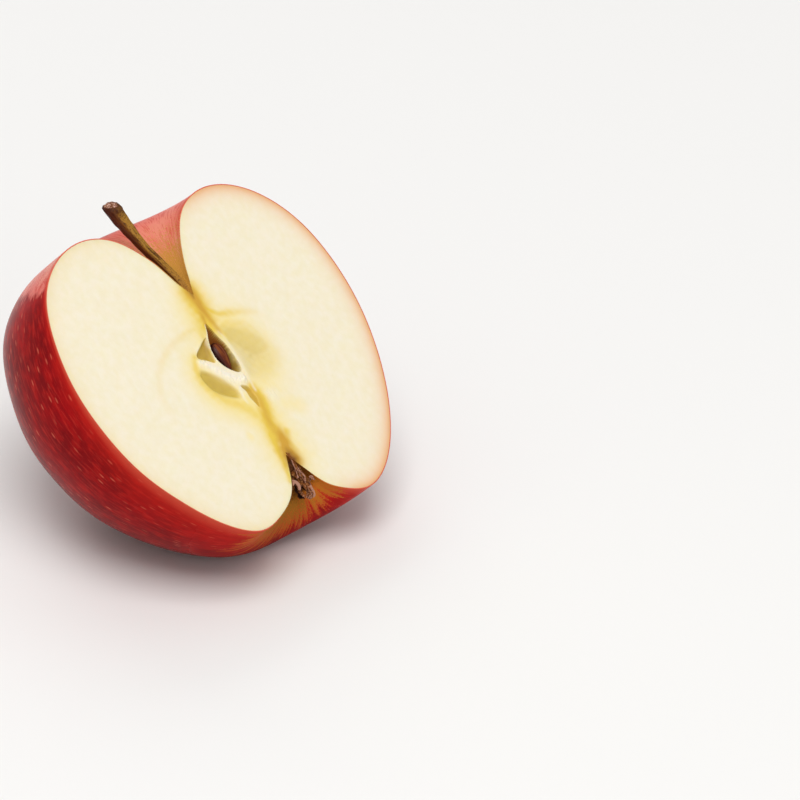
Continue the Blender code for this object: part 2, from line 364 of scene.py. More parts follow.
@dataclass
class Patch:
    """A surface of a piece: points on a grid, with what is painted on them and where they lie on its UV map.

    No point of it lies lower than its ground, which is the height in millimetres of the flat spot's layer.
    """

    points: Array
    paint: dict[str, Array] = field(default_factory=dict)
    flat: Array | None = None
    ground: float = 0.0


@dataclass
class Piece:
    """A finished piece of the fruit, sewn from patches whose edges meet."""

    name: str
    slot: str
    node: str
    patches: list[Patch]
    material: bpy.types.Material

    def sewn(self) -> tuple[Array, Array, list[list[int]], Array]:
        """Makes equal points one, and quads of neighbouring rows and columns.

        A quad that has lost one corner to its neighbour is a triangle, and one that has lost two is dropped.

        Returns:
            The points, which grid point each came from, the faces, and each face corner's grid point.
        """
        points = np.concatenate([patch.points.reshape(-1, 3) for patch in self.patches])
        quads = []
        start = 0
        for patch in self.patches:
            rows, columns = patch.points.shape[:2]
            i = np.arange(rows * columns).reshape(rows, columns) + start
            quads.append(np.stack([i[:-1, :-1], i[:-1, 1:], i[1:, 1:], i[1:, :-1]], axis=-1).reshape(-1, 4))
            start += rows * columns
        grid_quads = np.concatenate(quads)
        keys = np.round(points / WELD).astype(np.int64)
        first, index = np.unique(keys, axis=0, return_index=True, return_inverse=True)[1:]
        welded = index.reshape(-1)[grid_quads]
        lost = welded == np.roll(welded, -1, axis=1)
        whole = ~lost.any(axis=1)
        three = lost.sum(axis=1) == 1
        kept = ~lost[three]
        faces = welded[whole].tolist() + welded[three][kept].reshape(-1, 3).tolist()
        corners = np.concatenate([grid_quads[whole].ravel(), grid_quads[three][kept]])
        return points[first], first, faces, corners

    def mesh(self, fruit: Fruit) -> bpy.types.Mesh:
        """Makes the mesh in its place, with its paint and its UV map, and turns its faces outwards.

        Args:
            fruit: The form that says how the half lies.

        Returns:
            The mesh.
        """
        points, first, faces, corners = self.sewn()
        places = fruit.place(points)
        ground = np.concatenate([np.full(patch.points[..., 0].size, patch.ground) for patch in self.patches])
        places[:, 2] = np.maximum(places[:, 2], ground[first] * MM)
        mesh = bpy.data.meshes.new(self.name)
        mesh.from_pydata(places.tolist(), [], faces)
        for name in self.patches[0].paint:
            values = np.concatenate([patch.paint[name].reshape(-1) for patch in self.patches])
            layer = mesh.attributes.new(name, "FLOAT", "POINT")
            layer.data.foreach_set("value", values[first].astype(np.float32))
        if self.patches[0].flat is not None:
            flat = np.concatenate([patch.flat.reshape(-1, 2) for patch in self.patches])
            mesh.uv_layers.new(name="flat").uv.foreach_set("vector", flat[corners].astype(np.float32).ravel())
        builder = bmesh.new()
        builder.from_mesh(mesh)
        bmesh.ops.recalc_face_normals(builder, faces=builder.faces)
        builder.to_mesh(mesh)
        builder.free()
        mesh.shade_smooth()
        mesh.set_sharp_from_angle(angle=math.radians(SHARP_ANGLE))
        mesh.materials.append(self.material)
        return mesh

    def build(self, fruit: Fruit) -> None:
        """Makes the object, riding on the body and standing for its CAD node.

        Args:
            fruit: The form that says how the half lies.
        """
        mesh = self.mesh(fruit)
        piece = bpy.data.objects.new(self.name, mesh)
        bpy.context.scene.collection.objects.link(piece)
        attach(piece, BODY)
        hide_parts(self.node)
        log.info("%s: %d points, %d faces", self.name, len(mesh.vertices), len(mesh.polygons))


def add_node(
    tree: bpy.types.NodeTree, kind: str, inputs: dict[Any, Any] | None = None, **settings: Any
) -> bpy.types.Node:
    """Adds a node with its settings and links.

    Args:
        tree: The material's nodes.
        kind: The node's type.
        inputs: For each input's name or number, its value or the output that it is linked to.
        **settings: The node's own settings.

    Returns:
        The node.
    """
    node = tree.nodes.new(kind)
    for name, value in settings.items():
        setattr(node, name, value)
    for key, value in (inputs or {}).items():
        if isinstance(value, bpy.types.NodeSocket):
            tree.links.new(value, node.inputs[key])
        else:
            node.inputs[key].default_value = value
    return node


@dataclass(frozen=True)
class Rise:
    """Where some patterns show: their weighted sum, counted from 0 at low to 1 at high."""

    patterns: dict[str, float]
    low: float
    high: float


@dataclass(frozen=True)
class Coat:
    """A colour laid over those before it, as strong as its strength times each of its rises."""

    colour: str
    strength: float
    rises: tuple[Rise, ...]


@dataclass(frozen=True)
class Finish:
    """What a piece's surface is: coats of colour over a base, with patterns whose sizes are in millimetres.

    Painted patterns are attributes of the mesh. Laid patterns are noise on its UV map, with a size across
    and a size along. Solid patterns are noise in space. The bump is a pattern, its strength and its depth.
    """

    name: str = ""
    base: str = ""
    painted: tuple[str, ...] = ()
    laid: tuple[tuple[str, float, float], ...] = ()
    solid: tuple[tuple[str, float], ...] = ()
    coats: tuple[Coat, ...] = ()
    bump: tuple[str, float, float] = ("", 0.0, 0.0)
    roughness: float = 0.5
    shine: Settings = ()

    def scaled(self, tree: bpy.types.NodeTree, across: float, along: float) -> bpy.types.NodeSocket:
        """Adds the nodes that read the UV map, so that a unit is one size across and another along.

        Args:
            tree: The material's nodes.
            across: The size across, in millimetres.
            along: The size along, in millimetres.

        Returns:
            The output that gives the coordinates.
        """
        flat = add_node(tree, "ShaderNodeUVMap", uv_map="flat").outputs["UV"]
        inputs = {"Vector": flat, "Scale": (1.0 / across, 1.0 / along, 1.0)}
        return add_node(tree, "ShaderNodeMapping", inputs).outputs["Vector"]

    def patterns(self, tree: bpy.types.NodeTree) -> Sockets:
        """Adds the nodes of every pattern.

        Args:
            tree: The material's nodes.

        Returns:
            For each pattern's name, the output that gives its value.
        """
        found = {}
        for name in self.painted:
            found[name] = add_node(tree, "ShaderNodeAttribute", attribute_name=name).outputs["Fac"]
        for name, across, along in self.laid:
            inputs = {"Vector": self.scaled(tree, across, along), "Scale": 1.0, "Detail": NOISE_DETAIL}
            found[name] = add_node(tree, "ShaderNodeTexNoise", inputs, noise_dimensions="2D").outputs[0]
        for name, size in self.solid:
            places = add_node(tree, "ShaderNodeTexCoord").outputs["Object"]
            inputs = {"Vector": places, "Scale": 1.0 / (size * MM), "Detail": NOISE_DETAIL}
            found[name] = add_node(tree, "ShaderNodeTexNoise", inputs).outputs[0]
        return found

    def coated(self, tree: bpy.types.NodeTree, patterns: Sockets) -> bpy.types.NodeSocket:
        """Adds the nodes that lay the coats over the base.

        Args:
            tree: The material's nodes.
            patterns: For each pattern's name, the output that gives its value.

        Returns:
            The output that gives the colour.
        """
        colour: Any = linear(self.base)
        for coat in self.coats:
            share: Any = coat.strength
            for rise in coat.rises:
                total: Any = 0.0
                for name, weight in rise.patterns.items():
                    inputs = {0: patterns[name], 1: weight, 2: total}
                    total = add_node(tree, "ShaderNodeMath", inputs, operation="MULTIPLY_ADD").outputs[0]
                inputs = {"Value": total, "From Min": rise.low, "From Max": rise.high}
                shown = add_node(tree, "ShaderNodeMapRange", inputs).outputs[0]
                inputs = {0: shown, 1: share}
                share = add_node(tree, "ShaderNodeMath", inputs, operation="MULTIPLY").outputs[0]
            inputs = {MIX_FACTOR: share, MIX_FIRST: colour, MIX_SECOND: linear(coat.colour)}
            colour = add_node(tree, "ShaderNodeMix", inputs, data_type="RGBA").outputs[MIX_COLOUR]
        return colour

    def material(self) -> bpy.types.Material:
        """Makes the material.

        Returns:
            The finished material.
        """
        material = bpy.data.materials.new(self.name)
        material.use_nodes = True
        tree = material.node_tree
        shader = tree.nodes["Principled BSDF"]
        patterns = self.patterns(tree)
        tree.links.new(self.coated(tree, patterns), shader.inputs["Base Color"])
        shader.inputs["Roughness"].default_value = self.roughness
        name, strength, depth = self.bump
        inputs = {"Height": patterns[name], "Strength": strength, "Distance": depth * MM}
        tree.links.new(add_node(tree, "ShaderNodeBump", inputs).outputs[0], shader.inputs["Normal"])
        for socket, value in self.shine:
            shader.inputs[socket].default_value = value
        return material


@dataclass(frozen=True)
class WaxedSkin(Finish):
    """Apple skin with its own wax, which gives a broad soft sheen and a faint bloom where it is seen edge on.

    It is crimson with paler streaks along the meridians and short pale lenticels, and its shoulders are
    salmon, partly their own paler colour and partly painted highlight. Its far side is painted darker, as
    painted shade, and a painted glow lightens it along the cut. The stem cavity turns to matt ochre russet,
    and orange-brown and olive run out of the calyx basin.
    """

    name: str = "waxed apple skin"
    base: str = "a00d13"
    painted: tuple[str, ...] = ("russet", "basin", "olive", "shade", "cut", "shoulder", "highlight_dimming")
    # Real pores and russet grains are 0.1 to 0.3 mm wide. The stipple, the grit and the pores are drawn about
    # twice as coarse, so that they show
    laid: tuple[tuple[str, float, float], ...] = (
        ("clouds", 11.0, 13.0),
        ("mottle", 1.5, 3.4),
        ("streaks", 0.55, 3.6),
        ("bands", 3.5, 40.0),
        ("rays", 2.6, 12.0),
        ("stipple", 0.5, 0.6),
        ("grit", 0.45, 0.45),
        ("pores", 0.7, 0.7),
    )
    coats: tuple[Coat, ...] = (
        # The lights and darks of the crimson, and the painted shade that darkens its far side
        Coat("6a0b10", 0.6, (Rise({"clouds": 1.0}, 0.42, 0.64),)),
        Coat("6a0b10", 0.35, (Rise({"bands": 1.0}, 0.5, 0.72),)),
        Coat("5e0a10", 1.0, (Rise({"shade": 1.0}, 0.0, 1.0),)),
        Coat("ba1c18", 0.45, (Rise({"mottle": 1.0}, 0.5, 0.66),)),
        Coat("7c0d12", 0.4, (Rise({"mottle": 1.0}, 0.48, 0.34),)),
        Coat("c4342a", 0.4, (Rise({"streaks": 1.0}, 0.55, 0.7),)),
        Coat("720c12", 0.3, (Rise({"streaks": 1.0}, 0.46, 0.32),)),
        # The lenticels
        Coat("cc5c48", 0.8, (Rise({"lenticel": 1.0}, 0.17, 0.07), Rise({"choice": 1.0}, 0.55, 0.85))),
        # The shoulders: salmon, which is partly the skin's own paler colour and partly painted highlight,
        # streaked with red, and with a paler pink that is painted highlight
        Coat("e07468", 1.0, (Rise({"shoulder": 1.0, "mottle": 0.6, "streaks": 0.4}, 0.8, 1.15),)),
        Coat("cc4038", 0.7, (Rise({"shoulder": 1.0}, 0.3, 0.7), Rise({"mottle": 1.0}, 0.52, 0.62))),
        Coat(
            "f0b89e",
            0.85,
            (
                Rise({"shoulder": 1.0, "highlight_dimming": -1.0}, 0.5, 1.3),
                Rise({"clouds": 0.8, "grit": 0.7}, 0.62, 0.86),
            ),
        ),
        # The band along the cut: the lighter red beside the cut edge is a painted glow, and on the edge strip
        # itself the salmon is the cut skin's own colour
        Coat("c4261c", 0.8, (Rise({"cut": 1.0}, 0.0, 0.35),)),
        Coat("e27a5c", 1.0, (Rise({"cut": 1.0}, 0.25, 1.0),)),
        # The russet of the stem cavity
        Coat("de9468", 0.7, (Rise({"russet": 1.0}, 0.16, 0.4), Rise({"stipple": 1.0}, 0.45, 0.6))),
        Coat("c18a3c", 1.0, (Rise({"russet": 1.0, "stipple": 0.9, "rays": 0.3}, 1.05, 1.24),)),
        Coat("8f6424", 1.0, (Rise({"russet": 1.0, "stipple": 0.9, "rays": 0.3}, 1.42, 1.66),)),
        # The calyx basin
        Coat("c24b24", 0.9, (Rise({"basin": 1.0, "rays": 0.9, "stipple": 0.35}, 0.98, 1.16),)),
        Coat("bc6e24", 1.0, (Rise({"basin": 1.0, "rays": 0.9, "stipple": 0.9}, 1.38, 1.58),)),
        Coat("8a5f1e", 0.85, (Rise({"olive": 1.0, "rays": 0.4, "stipple": 1.4}, 1.42, 1.62),)),
        Coat("5e3310", 0.95, (Rise({"basin": 1.0, "stipple": 0.3}, 0.95, 1.06),)),
    )
    bump: tuple[str, float, float] = ("pores", 0.12, 0.05)
    roughness: float = 0.26
    matt_roughness: float = 0.7
    shine: Settings = (
        ("IOR", 1.45),
        ("Specular IOR Level", 0.02),
        ("Sheen Weight", 0.1),
        ("Sheen Roughness", 0.2),
        ("Sheen Tint", linear("f0a090")),
    )
    # How far apart the lenticels lie, round the fruit and along it
    lenticel_spacing: Point = (1.7, 5.0)

    def patterns(self, tree: bpy.types.NodeTree) -> Sockets:
        """Adds the lenticels to the other patterns: how near the nearest is, and a number that chooses it.

        Args:
            tree: The material's nodes.

        Returns:
            For each pattern's name, the output that gives its value.
        """
        found = super().patterns(tree)
        inputs = {"Vector": self.scaled(tree, *self.lenticel_spacing), "Scale": 1.0}
        cells = add_node(tree, "ShaderNodeTexVoronoi", inputs, voronoi_dimensions="2D")
        found["lenticel"] = cells.outputs["Distance"]
        found["choice"] = add_node(tree, "ShaderNodeSeparateColor", {0: cells.outputs["Color"]}).outputs[0]
        return found

    def material(self) -> bpy.types.Material:
        """Makes the material, whose roughness grows where the wax is worn and russet has formed.

        Returns:
            The finished material.
        """
        material = super().material()
        tree = material.node_tree
        matt = add_node(tree, "ShaderNodeAttribute", attribute_name="matt").outputs["Fac"]
        inputs = {"Value": matt, "To Min": self.roughness, "To Max": self.matt_roughness}
        rough = add_node(tree, "ShaderNodeMapRange", inputs).outputs[0]
        tree.links.new(rough, tree.nodes["Principled BSDF"].inputs["Roughness"])
        return material


@dataclass(frozen=True)
class MoistFlesh(Finish):
    """Fresh-cut apple flesh: cream, granular and wet, so that light sinks in a little and it glistens.

    The core's stains are painted over it, each with its own colour, and so is painted shade in its hollows
    and painted shadow at the top of the seed slit. Its cells are 0.2 mm wide, and their grain is drawn about
    twice as coarse, so that it shows.
    """

    name: str = "moist apple flesh"
    base: str = "ede3c5"
    painted: tuple[str, ...] = tuple(stain.name.lower() for stain in Stain)
    solid: tuple[tuple[str, float], ...] = (("mottle", 1.6), ("grain", 0.45))
    coats: tuple[Coat, ...] = (
        Coat("f0e7d1", 1.0, (Rise({"mottle": 1.0}, 0.3, 0.7),)),
        *(Coat(stain.value, 1.0, (Rise({stain.name.lower(): 1.0}, 0.0, 1.0),)) for stain in Stain),
    )
    bump: tuple[str, float, float] = ("grain", 0.25, 0.06)
    roughness: float = 0.48
    shine: Settings = (
        ("IOR", 1.38),
        ("Specular IOR Level", 0.35),
        ("Subsurface Weight", 0.3),
        ("Subsurface Radius", (1.0, 0.75, 0.4)),
        ("Subsurface Scale", 1.2 * MM),
    )


@dataclass(frozen=True)
class DryBark(Finish):
    """The stem's thin bark, dried in the air: matt brown, furrowed, with an ochre painted highlight on one
    side.

    One side is painted nearly black, as painted shade, and the broken end shows pale specks of torn fibre.
    The fibres are 0.1 mm thick, and the specks are drawn three times as coarse, so that they show.
    """

    name: str = "dry stem bark"
    base: str = "84521c"
    painted: tuple[str, ...] = ("knob", "worn", "foot", "painted_shade_side", "painted_light_side")
    laid: tuple[tuple[str, float, float], ...] = (("furrows", 0.5, 4.0),)
    solid: tuple[tuple[str, float], ...] = (("specks", 0.3),)
    coats: tuple[Coat, ...] = (
        # Painted highlight: ochre on the lit side
        Coat("a3762a", 0.85, (Rise({"painted_light_side": 1.0, "furrows": 1.2}, 0.95, 1.5),)),
        Coat("3f1c08", 0.7, (Rise({"furrows": 1.0}, 0.49, 0.36),)),
        Coat("a8742c", 0.7, (Rise({"foot": 1.0}, 0.2, 1.0),)),
        # Painted shade: nearly black on the other side
        Coat("4a1c07", 0.9, (Rise({"painted_shade_side": 1.0, "furrows": 0.7}, 0.5, 1.0),)),
        Coat("451c0a", 0.75, (Rise({"knob": 1.0, "furrows": 0.8}, 0.7, 1.3),)),
        Coat("83502f", 1.0, (Rise({"worn": 1.0}, 0.1, 0.9),)),
        Coat("d9b0a0", 0.85, (Rise({"worn": 1.0}, 0.2, 0.8), Rise({"specks": 1.0}, 0.52, 0.6))),
        Coat("3a1a10", 0.7, (Rise({"specks": 1.0}, 0.46, 0.36),)),
    )
    bump: tuple[str, float, float] = ("specks", 0.5, 0.12)
    roughness: float = 0.6
    shine: Settings = (("Specular IOR Level", 0.15),)


@dataclass(frozen=True)
class SeedCoat(Finish):
    """A ripe seed's hard coat: red-brown, finely streaked along the seed, with a smooth moist gloss."""

    name: str = "seed coat"
    base: str = "541c0c"
    painted: tuple[str, ...] = ("edge",)
    laid: tuple[tuple[str, float, float], ...] = (("streaks", 0.4, 4.0),)
    coats: tuple[Coat, ...] = (
        Coat("7c3f16", 0.9, (Rise({"streaks": 1.0}, 0.44, 0.6),)),
        # The dark edge: partly the seed's own darker margin, partly painted shade
        Coat("2c0806", 1.0, (Rise({"edge": 1.0}, 0.0, 1.0),)),
    )
    bump: tuple[str, float, float] = ("streaks", 0.2, 0.05)
    roughness: float = 0.4
    shine: Settings = (("Specular IOR Level", 0.2),)


@dataclass(frozen=True)
class DriedSepal(Finish):
    """Sepals dried on the fruit: crisp, matt and brown, bleached to a pinkish grey towards their curled tips.

    Those that lie in the basin's deep shade are painted nearly black, as painted shadow. Their veins are 0.1
    mm apart, and the fibre is drawn three times as coarse, so that it shows.
    """

    name: str = "dried sepal"
    base: str = "7a4318"
    painted: tuple[str, ...] = ("bleached", "painted_shadow")
    solid: tuple[tuple[str, float], ...] = (("crumple", 0.7), ("fibre", 0.3))
    coats: tuple[Coat, ...] = (
        Coat("3a190e", 0.85, (Rise({"crumple": 1.0}, 0.52, 0.38),)),
        Coat("a8733a", 0.6, (Rise({"fibre": 1.0}, 0.52, 0.64),)),
        Coat("b0806c", 0.9, (Rise({"bleached": 1.0, "fibre": 1.4}, 0.95, 1.4),)),
        # Painted shadow: nearly black on the sepals and the heart that lie in the basin's deep shade
        Coat("2b0f08", 0.95, (Rise({"painted_shadow": 1.0}, 0.0, 1.0),)),
    )
    bump: tuple[str, float, float] = ("crumple", 0.5, 0.12)
    roughness: float = 0.75
    shine: Settings = (("Specular IOR Level", 0.15),)


@dataclass
class Skin:
    """The apple's skin as a thin closed shell, whose cut edge lies in the cut face."""

    fruit: Fruit
    thickness: float = 0.2
    uneven: Ripple = Ripple(0.1, 17.0, 3)
    rows: int = 220
    columns: int = 200
    # How far down the section the russet ends, and the shoulders' paler colour, partly painted highlight,
    # does at each turn
    russet_end: float = 0.24
    shoulder_edge: tuple[Point, ...] = ((0.0, 0.25), (1.6, 0.22), (2.54, 0.32), (2.86, 0.338), (3.14, 0.366))
    # How wide that edge is at the cut and at the back, and how uneven both edges are
    shoulder_fade: Point = (0.03, 0.13)
    ragged: Ripple = Ripple(0.008, 4.0, 9)
    # The turns between which the pale pink painted highlight on the shoulders is dimmed, at the right lobe
    # and at the left one
    highlight_dimming: float = 0.3
    highlight_dimming_right: Point = (0.0, 0.4)
    highlight_dimming_left: Point = (2.4, 0.9)
    # The basin's colours end at these distances from the core line at the right and the left lobe
    basin_inner: float = 2.0
    basin_outer: Point = (15.0, 27.0)
    olive_turn: Point = (0.1, 1.2)
    # How wide the lighter band along the cut, a painted glow, is above and below the widest part, and where
    # on the section it widens
    cut_width: Point = (0.6, 4.0)
    cut_widens: Point = (0.4, 0.7)
    # How strong it is, and between which strengths of the russet it vanishes
    cut_share: float = 0.5
    cut_in_russet: Point = (0.3, 0.6)
    # How much darker the far side is painted, as painted shade, and between which sines of the turn it
    # darkens
    shade: float = 0.55
    shade_from: Point = (0.15, 0.8)

    def paint(self, points: Array, shares: Array) -> dict[str, Array]:
        """How strongly each point has each of the skin's markings, from 0 to 1.

        Russet and basin fall off evenly with the distance from their seats. The lighter band along the cut, a
        painted glow, falls off as exp(-d / width), where d is the distance from the cut. The painted shade of
        the far side and the fade follow sin turn.

        Args:
            points: The skin's points.
            shares: How far down the section each row is.

        Returns:
            For each marking's name, its strength at each point.
        """
        radius = np.hypot(points[..., 0], points[..., 2])
        turn = np.arctan2(-points[..., 2], points[..., 0])
        down = shares[:, None] + self.ragged.at(points)
        russet = np.clip(1.0 - down / self.russet_end, 0.0, 1.0)
        outer = between(self.basin_outer, turn / math.pi)
        basin = np.clip((outer - radius) / (outer - self.basin_inner), 0.0, 1.0)
        basin = np.where(points[..., 1] < 0.0, basin, 0.0)
        width = between(self.cut_width, smooth(*self.cut_widens, shares[:, None]))
        cut = self.cut_share * np.exp(-radius * np.minimum(turn, math.pi - turn) / width)
        edge = np.interp(turn, *zip(*self.shoulder_edge))
        fade = between(self.shoulder_fade, np.sin(turn) ** 2)
        highlight_dimming = self.highlight_dimming * smooth(*self.highlight_dimming_left, turn)
        return {
            "russet": russet,
            "basin": basin,
            "matt": np.maximum(russet, np.sqrt(basin)),
            "olive": basin * smooth(*self.olive_turn, turn),
            # Painted shade: the far side is darker, away from the cut
            "shade": self.shade * smooth(*self.shade_from, np.sin(turn)) * (1.0 - basin),
            # Painted glow: the skin is lighter along the cut
            "cut": cut * (1.0 - smooth(*self.cut_in_russet, russet)),
            # The pale pink painted highlight is dimmed away from the left lobe
            "highlight_dimming": highlight_dimming * smooth(*self.highlight_dimming_right, turn),
            "shoulder": smooth(fade, -fade, down - edge),
        }

    def piece(self) -> Piece:
        """The shell: its outer side, its inner side and the two strips of its cut edge.

        Its unevenness is multiplied by the root of sin turn times sin of pi times the share, so that it fades
        towards the cut and the seats.

        Returns:
            The piece, ready to build.
        """
        shares = np.linspace(0.0, 1.0, self.rows + 1)
        turn = np.linspace(0.0, math.pi, self.columns + 1)
        even = self.fruit.surface(shares, turn)
        free = np.sqrt(np.sin(turn) * np.sin(math.pi * shares)[:, None])
        uneven = self.uneven.at(even) * free
        outer = self.fruit.surface(shares, turn, uneven)
        inner = self.fruit.surface(shares, turn, self.thickness + uneven)
        length = np.linalg.norm(np.diff(outer[:, self.columns // 2], axis=0), axis=1)
        along = np.concatenate([[0.0], np.cumsum(length)])
        flat = np.stack(np.meshgrid(turn * self.fruit.widest, along), axis=-1)
        lining = self.paint(inner, shares)
        lining["cut"] = np.ones_like(lining["cut"])
        patches = [Patch(outer, self.paint(outer, shares), flat), Patch(inner, lining, flat, self.thickness)]
        for column in (0, -1):
            strip = np.stack([outer[:, column], inner[:, column]], axis=1)
            edge = np.repeat(flat[:, column][:, None], 2, axis=1)
            patches.append(Patch(strip, self.paint(strip, shares), edge))
        return Piece("skin", "apple", "apple_half", patches, WaxedSkin().material())


@dataclass(frozen=True)
class Hollow:
    """A hollow that the cut has opened in the core: its rim on the cut face as (V, U) points, and its depth.

    Its olive stain has a strength, and a width over which it fades at the rim. The wall falls away over the
    edge width, and squareness says how flat the floor is.
    """

    rim: tuple[Point, ...]
    depth: float
    olive: Point
    edge: float = 0.25
    squareness: float = 3.0
    # How many points of the rim are worked out
    around: int = 96

    def reach(self, points: Array) -> tuple[Array, Array]:
        """Where points lie against the rim, which is seen from its middle.

        The rim is the middle third of a curve that goes three times round its points, so it closes evenly.

        Args:
            points: (V, U) points.

        Returns:
            The distance from the middle as a share of the rim's on that side, and the distance inside the
            rim.
        """
        ring = curve_at(np.array(self.rim * 3 + self.rim[:1]), np.linspace(0.0, 1.0, 3 * self.around + 1))
        ring = ring[self.around : 2 * self.around]
        middle = ring.mean(axis=0)
        angle = np.arctan2(ring[:, 1] - middle[1], ring[:, 0] - middle[0])
        order = np.argsort(angle)
        length = np.linalg.norm(ring - middle, axis=1)
        from_middle = points - middle
        heading = np.arctan2(from_middle[..., 1], from_middle[..., 0])
        limit = np.interp(heading, angle[order], length[order], period=2.0 * math.pi)
        distance = np.linalg.norm(from_middle, axis=-1)
        return distance / limit, limit - distance

    def fall(self, points: Array) -> Array:
        """How deep the hollow is: depth (1 - q^n)^(1/n), eased over the edge width inside the rim.

        Here q is the distance from the middle as a share of the rim's, and n is the squareness.

        Args:
            points: (V, U) points.

        Returns:
            The depth at each point.
        """
        share, inside = self.reach(points)
        bowl = (1.0 - np.clip(share, 0.0, 1.0) ** self.squareness) ** (1.0 / self.squareness)
        return self.depth * bowl * (1.0 - np.exp(-np.maximum(inside, 0.0) / self.edge))

    def stain(self, points: Array) -> Array:
        """How strong the olive stain is: all of it inside the rim and none outside, fading over its width."""
        strength, soft = self.olive
        return strength * smooth(-soft / 2.0, soft / 2.0, self.reach(points)[1])


@dataclass(frozen=True)
class Stroke:
    """A soft line on the cut face: its (V, U) path, and its half-width and strength at its two ends."""

    path: tuple[Point, ...]
    width: Point
    strength: Point = (1.0, 1.0)
    # How many straight steps stand for the curve
    steps: int = 20

    def cover(self, points: Array) -> Array:
        """Strength times exp(-(d / width)^2), where d is the distance from the nearest place on the path.

        Args:
            points: (V, U) points.

        Returns:
            The stroke's strength at each point.
        """
        shares = np.linspace(0.0, 1.0, self.steps + 1)
        line = curve_at(self.path, shares)
        found = np.zeros(points.shape[:-1])
        for start, end, low, high in zip(line[:-1], line[1:], shares[:-1], shares[1:]):
            step = end - start
            part = np.clip(((points - start) @ step) / (step @ step), 0.0, 1.0)
            distance = np.linalg.norm(points - start - part[..., None] * step, axis=-1)
            along = low + (high - low) * part
            soft = np.exp(-((distance / between(self.width, along)) ** 2))
            found = np.maximum(found, between(self.strength, along) * soft)
        return found


